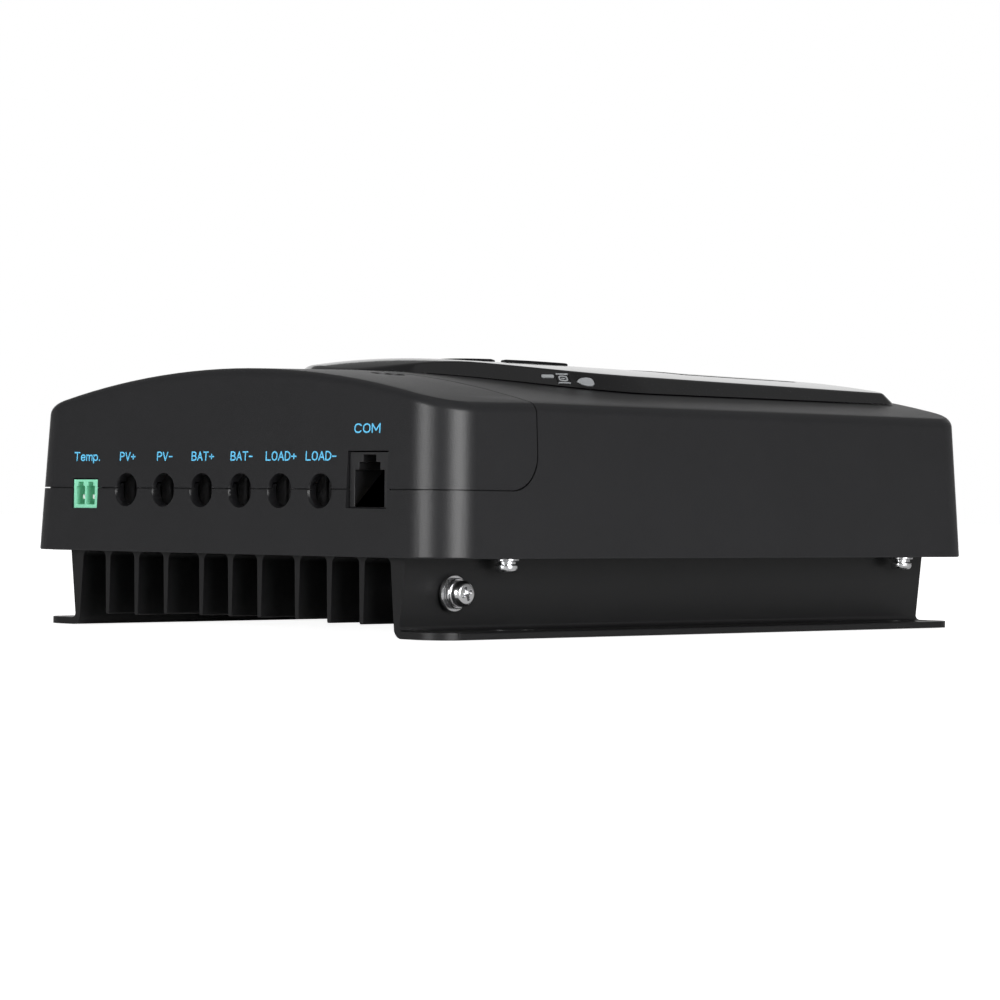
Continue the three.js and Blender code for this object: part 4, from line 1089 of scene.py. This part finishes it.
def build_terminal_screws(materials):
    crest, root, pitch, rim = 2.1, 1.75, 0.8, 3.5
    head_height = 2.1
    for index, x in enumerate(POLES, 1):
        name = f"terminal_screw_{index}"
        low, high = box_mm(name)
        head = high.z - head_height
        profile = [(0, low.z), (1.9, low.z), (crest, low.z + 0.3)]
        z = low.z + 0.5
        while z + pitch < head - 0.2:
            profile += [(crest, z), (root, z + pitch / 2)]
            z += pitch
        profile += [(crest, head - 0.1), (crest, head), (3.4, head), (rim, head + 0.15), (rim, high.z - 0.35)]
        profile += [(3.38, high.z - 0.12), (3.1, high.z), (0, high.z)]
        screw = turned(profile)
        cut(screw, block(-5, 5, -0.5, 0.5, high.z - 1.2, high.z + 1))
        middle = (low.y + high.y) / 2
        placed(screw, stand_at(x, middle, 0))
        finished(screw, name + "_slotted", materials["zinc"], name, [name])


# ---- CAD nodes that keep their shape ----

def dress_nodes(materials):
    looks = {
        "lcd_module": "display", "display_pcb": "board", "key_mat": "rubber", "main_pcb": "board",
        "storage_inductor": "ferrite", "capacitor_1": "sleeve", "capacitor_2": "sleeve",
        "thermal_pad": "rubber", "transistor_1": "resin", "transistor_2": "resin",
        "ribbon_cable": "ribbon", "terminal_block": "resin", "jack_contacts": "gold",
        "temp_pin_1": "tin", "temp_pin_2": "tin",
    }
    for index in range(1, 5):
        looks[f"pcb_standoff_{index}"] = "nylon"
    for index in range(1, len(POLES) + 1):
        looks[f"clamp_cage_{index}"] = "zinc"
        looks[f"current_bar_{index}"] = "copper"
    for node, look in looks.items():
        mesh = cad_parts[node].data
        mesh.materials.clear()
        mesh.materials.append(materials[look])


# ---- Stage, light and camera ----

AMBIENT = 0.2
FLOOR_GLOW = 0.93
LIGHT_AIM = (0, 0, 0.035)
# Angles in degrees, lengths in metres, the lens in millimetres.
CAMERA_AZIMUTH = 44.13
CAMERA_RISE = 0.04
CAMERA_ROLL = 0.61
CAMERA_DISTANCE = 0.94983
CAMERA_TARGET = (0, -0.00346, 0.030)
CAMERA_LENS = 132.0
CAMERA_PITCH = 0.146


def plain_stage_material(name, tone):
    """A pale backdrop that the camera sees evenly lit, and that still takes a faint shade."""
    material, tree, principled, place = shader_nodes(name)
    tree.links.new(ramp(tree, noise(tree, place, 4), tone, [c * 1.01 for c in tone]),
                   principled.inputs["Base Color"])
    principled.inputs["Roughness"].default_value = 0.9
    principled.inputs["Specular IOR Level"].default_value = 0.1
    glow = tree.nodes.new("ShaderNodeEmission")
    glow.inputs["Strength"].default_value = FLOOR_GLOW
    both = tree.nodes.new("ShaderNodeAddShader")
    seen = tree.nodes.new("ShaderNodeLightPath").outputs["Is Camera Ray"]
    chosen = tree.nodes.new("ShaderNodeMixShader")
    tree.links.new(principled.outputs["BSDF"], both.inputs[0])
    tree.links.new(glow.outputs["Emission"], both.inputs[1])
    tree.links.new(seen, chosen.inputs["Fac"])
    tree.links.new(principled.outputs["BSDF"], chosen.inputs[1])
    tree.links.new(both.outputs["Shader"], chosen.inputs[2])
    tree.links.new(chosen.outputs["Shader"], tree.nodes["Material Output"].inputs["Surface"])
    return material


def build_stage():
    size = 6.0
    floor = new_piece("floor", [(-size, -size, 0), (size, -size, 0), (size, size, 0), (-size, size, 0)],
                      [[0, 1, 2, 3]])
    floor.location.z = cad_bounds[0][2] - 0.0003
    floor.data.materials.append(plain_stage_material("pale_floor", (0.86, 0.86, 0.86)))


def soft_light(name, place, size, power):
    """A rectangular light turned to the object, which the camera doesn't see."""
    light = bpy.data.lights.new(name, "AREA")
    light.shape = "RECTANGLE"
    light.size, light.size_y = size
    light.energy = power
    lamp = bpy.data.objects.new(name, light)
    lamp.location = place
    lamp.rotation_euler = (Vector(LIGHT_AIM) - Vector(place)).to_track_quat("-Z", "Y").to_euler()
    lamp.visible_camera = False
    bpy.context.scene.collection.objects.link(lamp)
    return lamp


def at_bearing(azimuth, distance, height):
    """A place round the object, with the azimuth counted from the front wall towards +X."""
    a = math.radians(azimuth)
    return (math.sin(a) * distance, -math.cos(a) * distance, height)


def build_light():
    world = bpy.data.worlds.new("studio")
    world.use_nodes = True
    tree = world.node_tree
    dim = tree.nodes["Background"]
    dim.inputs["Color"].default_value = (1, 1, 1, 1)
    dim.inputs["Strength"].default_value = AMBIENT
    white = tree.nodes.new("ShaderNodeBackground")
    white.inputs["Color"].default_value = (1, 1, 1, 1)
    seen = tree.nodes.new("ShaderNodeLightPath").outputs["Is Camera Ray"]
    chosen = tree.nodes.new("ShaderNodeMixShader")
    tree.links.new(seen, chosen.inputs["Fac"])
    tree.links.new(dim.outputs["Background"], chosen.inputs[1])
    tree.links.new(white.outputs["Background"], chosen.inputs[2])
    tree.links.new(chosen.outputs["Shader"], tree.nodes["World Output"].inputs["Surface"])
    bpy.context.scene.world = world
    bpy.context.scene.view_settings.view_transform = "Standard"
    soft_light("front_strip", at_bearing(2, 1.6, 0.1), (0.8, 1.2), 24)
    soft_light("side_strip", at_bearing(82, 1.6, 0.1), (0.95, 1.2), 35)
    soft_light("back_wall", at_bearing(224, 2.2, 0.37), (2.4, 0.8), 4.4)
    soft_light("overhead", (0.2, -0.3, 1.8), (1.6, 1.6), 1.5)


def build_camera():
    a, e, r = (math.radians(v) for v in (CAMERA_AZIMUTH, CAMERA_RISE, CAMERA_ROLL))
    back = Vector((math.sin(a) * math.cos(e), -math.cos(a) * math.cos(e), math.sin(e)))
    right = (-back).cross(Vector((0, 0, 1))).normalized()
    up = right.cross(-back)
    rolled_right = math.cos(r) * right + math.sin(r) * up
    rolled_up = -math.sin(r) * right + math.cos(r) * up
    turn = Matrix((rolled_right, rolled_up, back)).transposed()
    pitch = Matrix.Rotation(math.radians(CAMERA_PITCH), 3, "X")
    data = bpy.data.cameras.new("camera")
    data.lens = CAMERA_LENS
    data.sensor_width = 36
    data.clip_start = 0.01
    camera = bpy.data.objects.new("camera", data)
    place = Matrix.Translation(Vector(CAMERA_TARGET) + back * CAMERA_DISTANCE)
    camera.matrix_world = place @ (turn @ pitch).to_4x4()
    bpy.context.scene.collection.objects.link(camera)
    bpy.context.scene.camera = camera


def main():
    materials = make_materials()
    build_camera()
    build_stage()
    build_light()
    dress_nodes(materials)
    build_housing(materials)
    build_cover(materials)
    build_sink(materials)
    build_panel(materials)
    build_keys(materials)
    build_lens(materials)
    build_lamps(materials)
    for name, text, low_x, high_x, base_z in LABELS:
        build_label(text, low_x, high_x, base_z, materials, name)
    build_jack(materials)
    build_header(materials)
    build_fasteners(materials)
    build_terminal_screws(materials)


main()
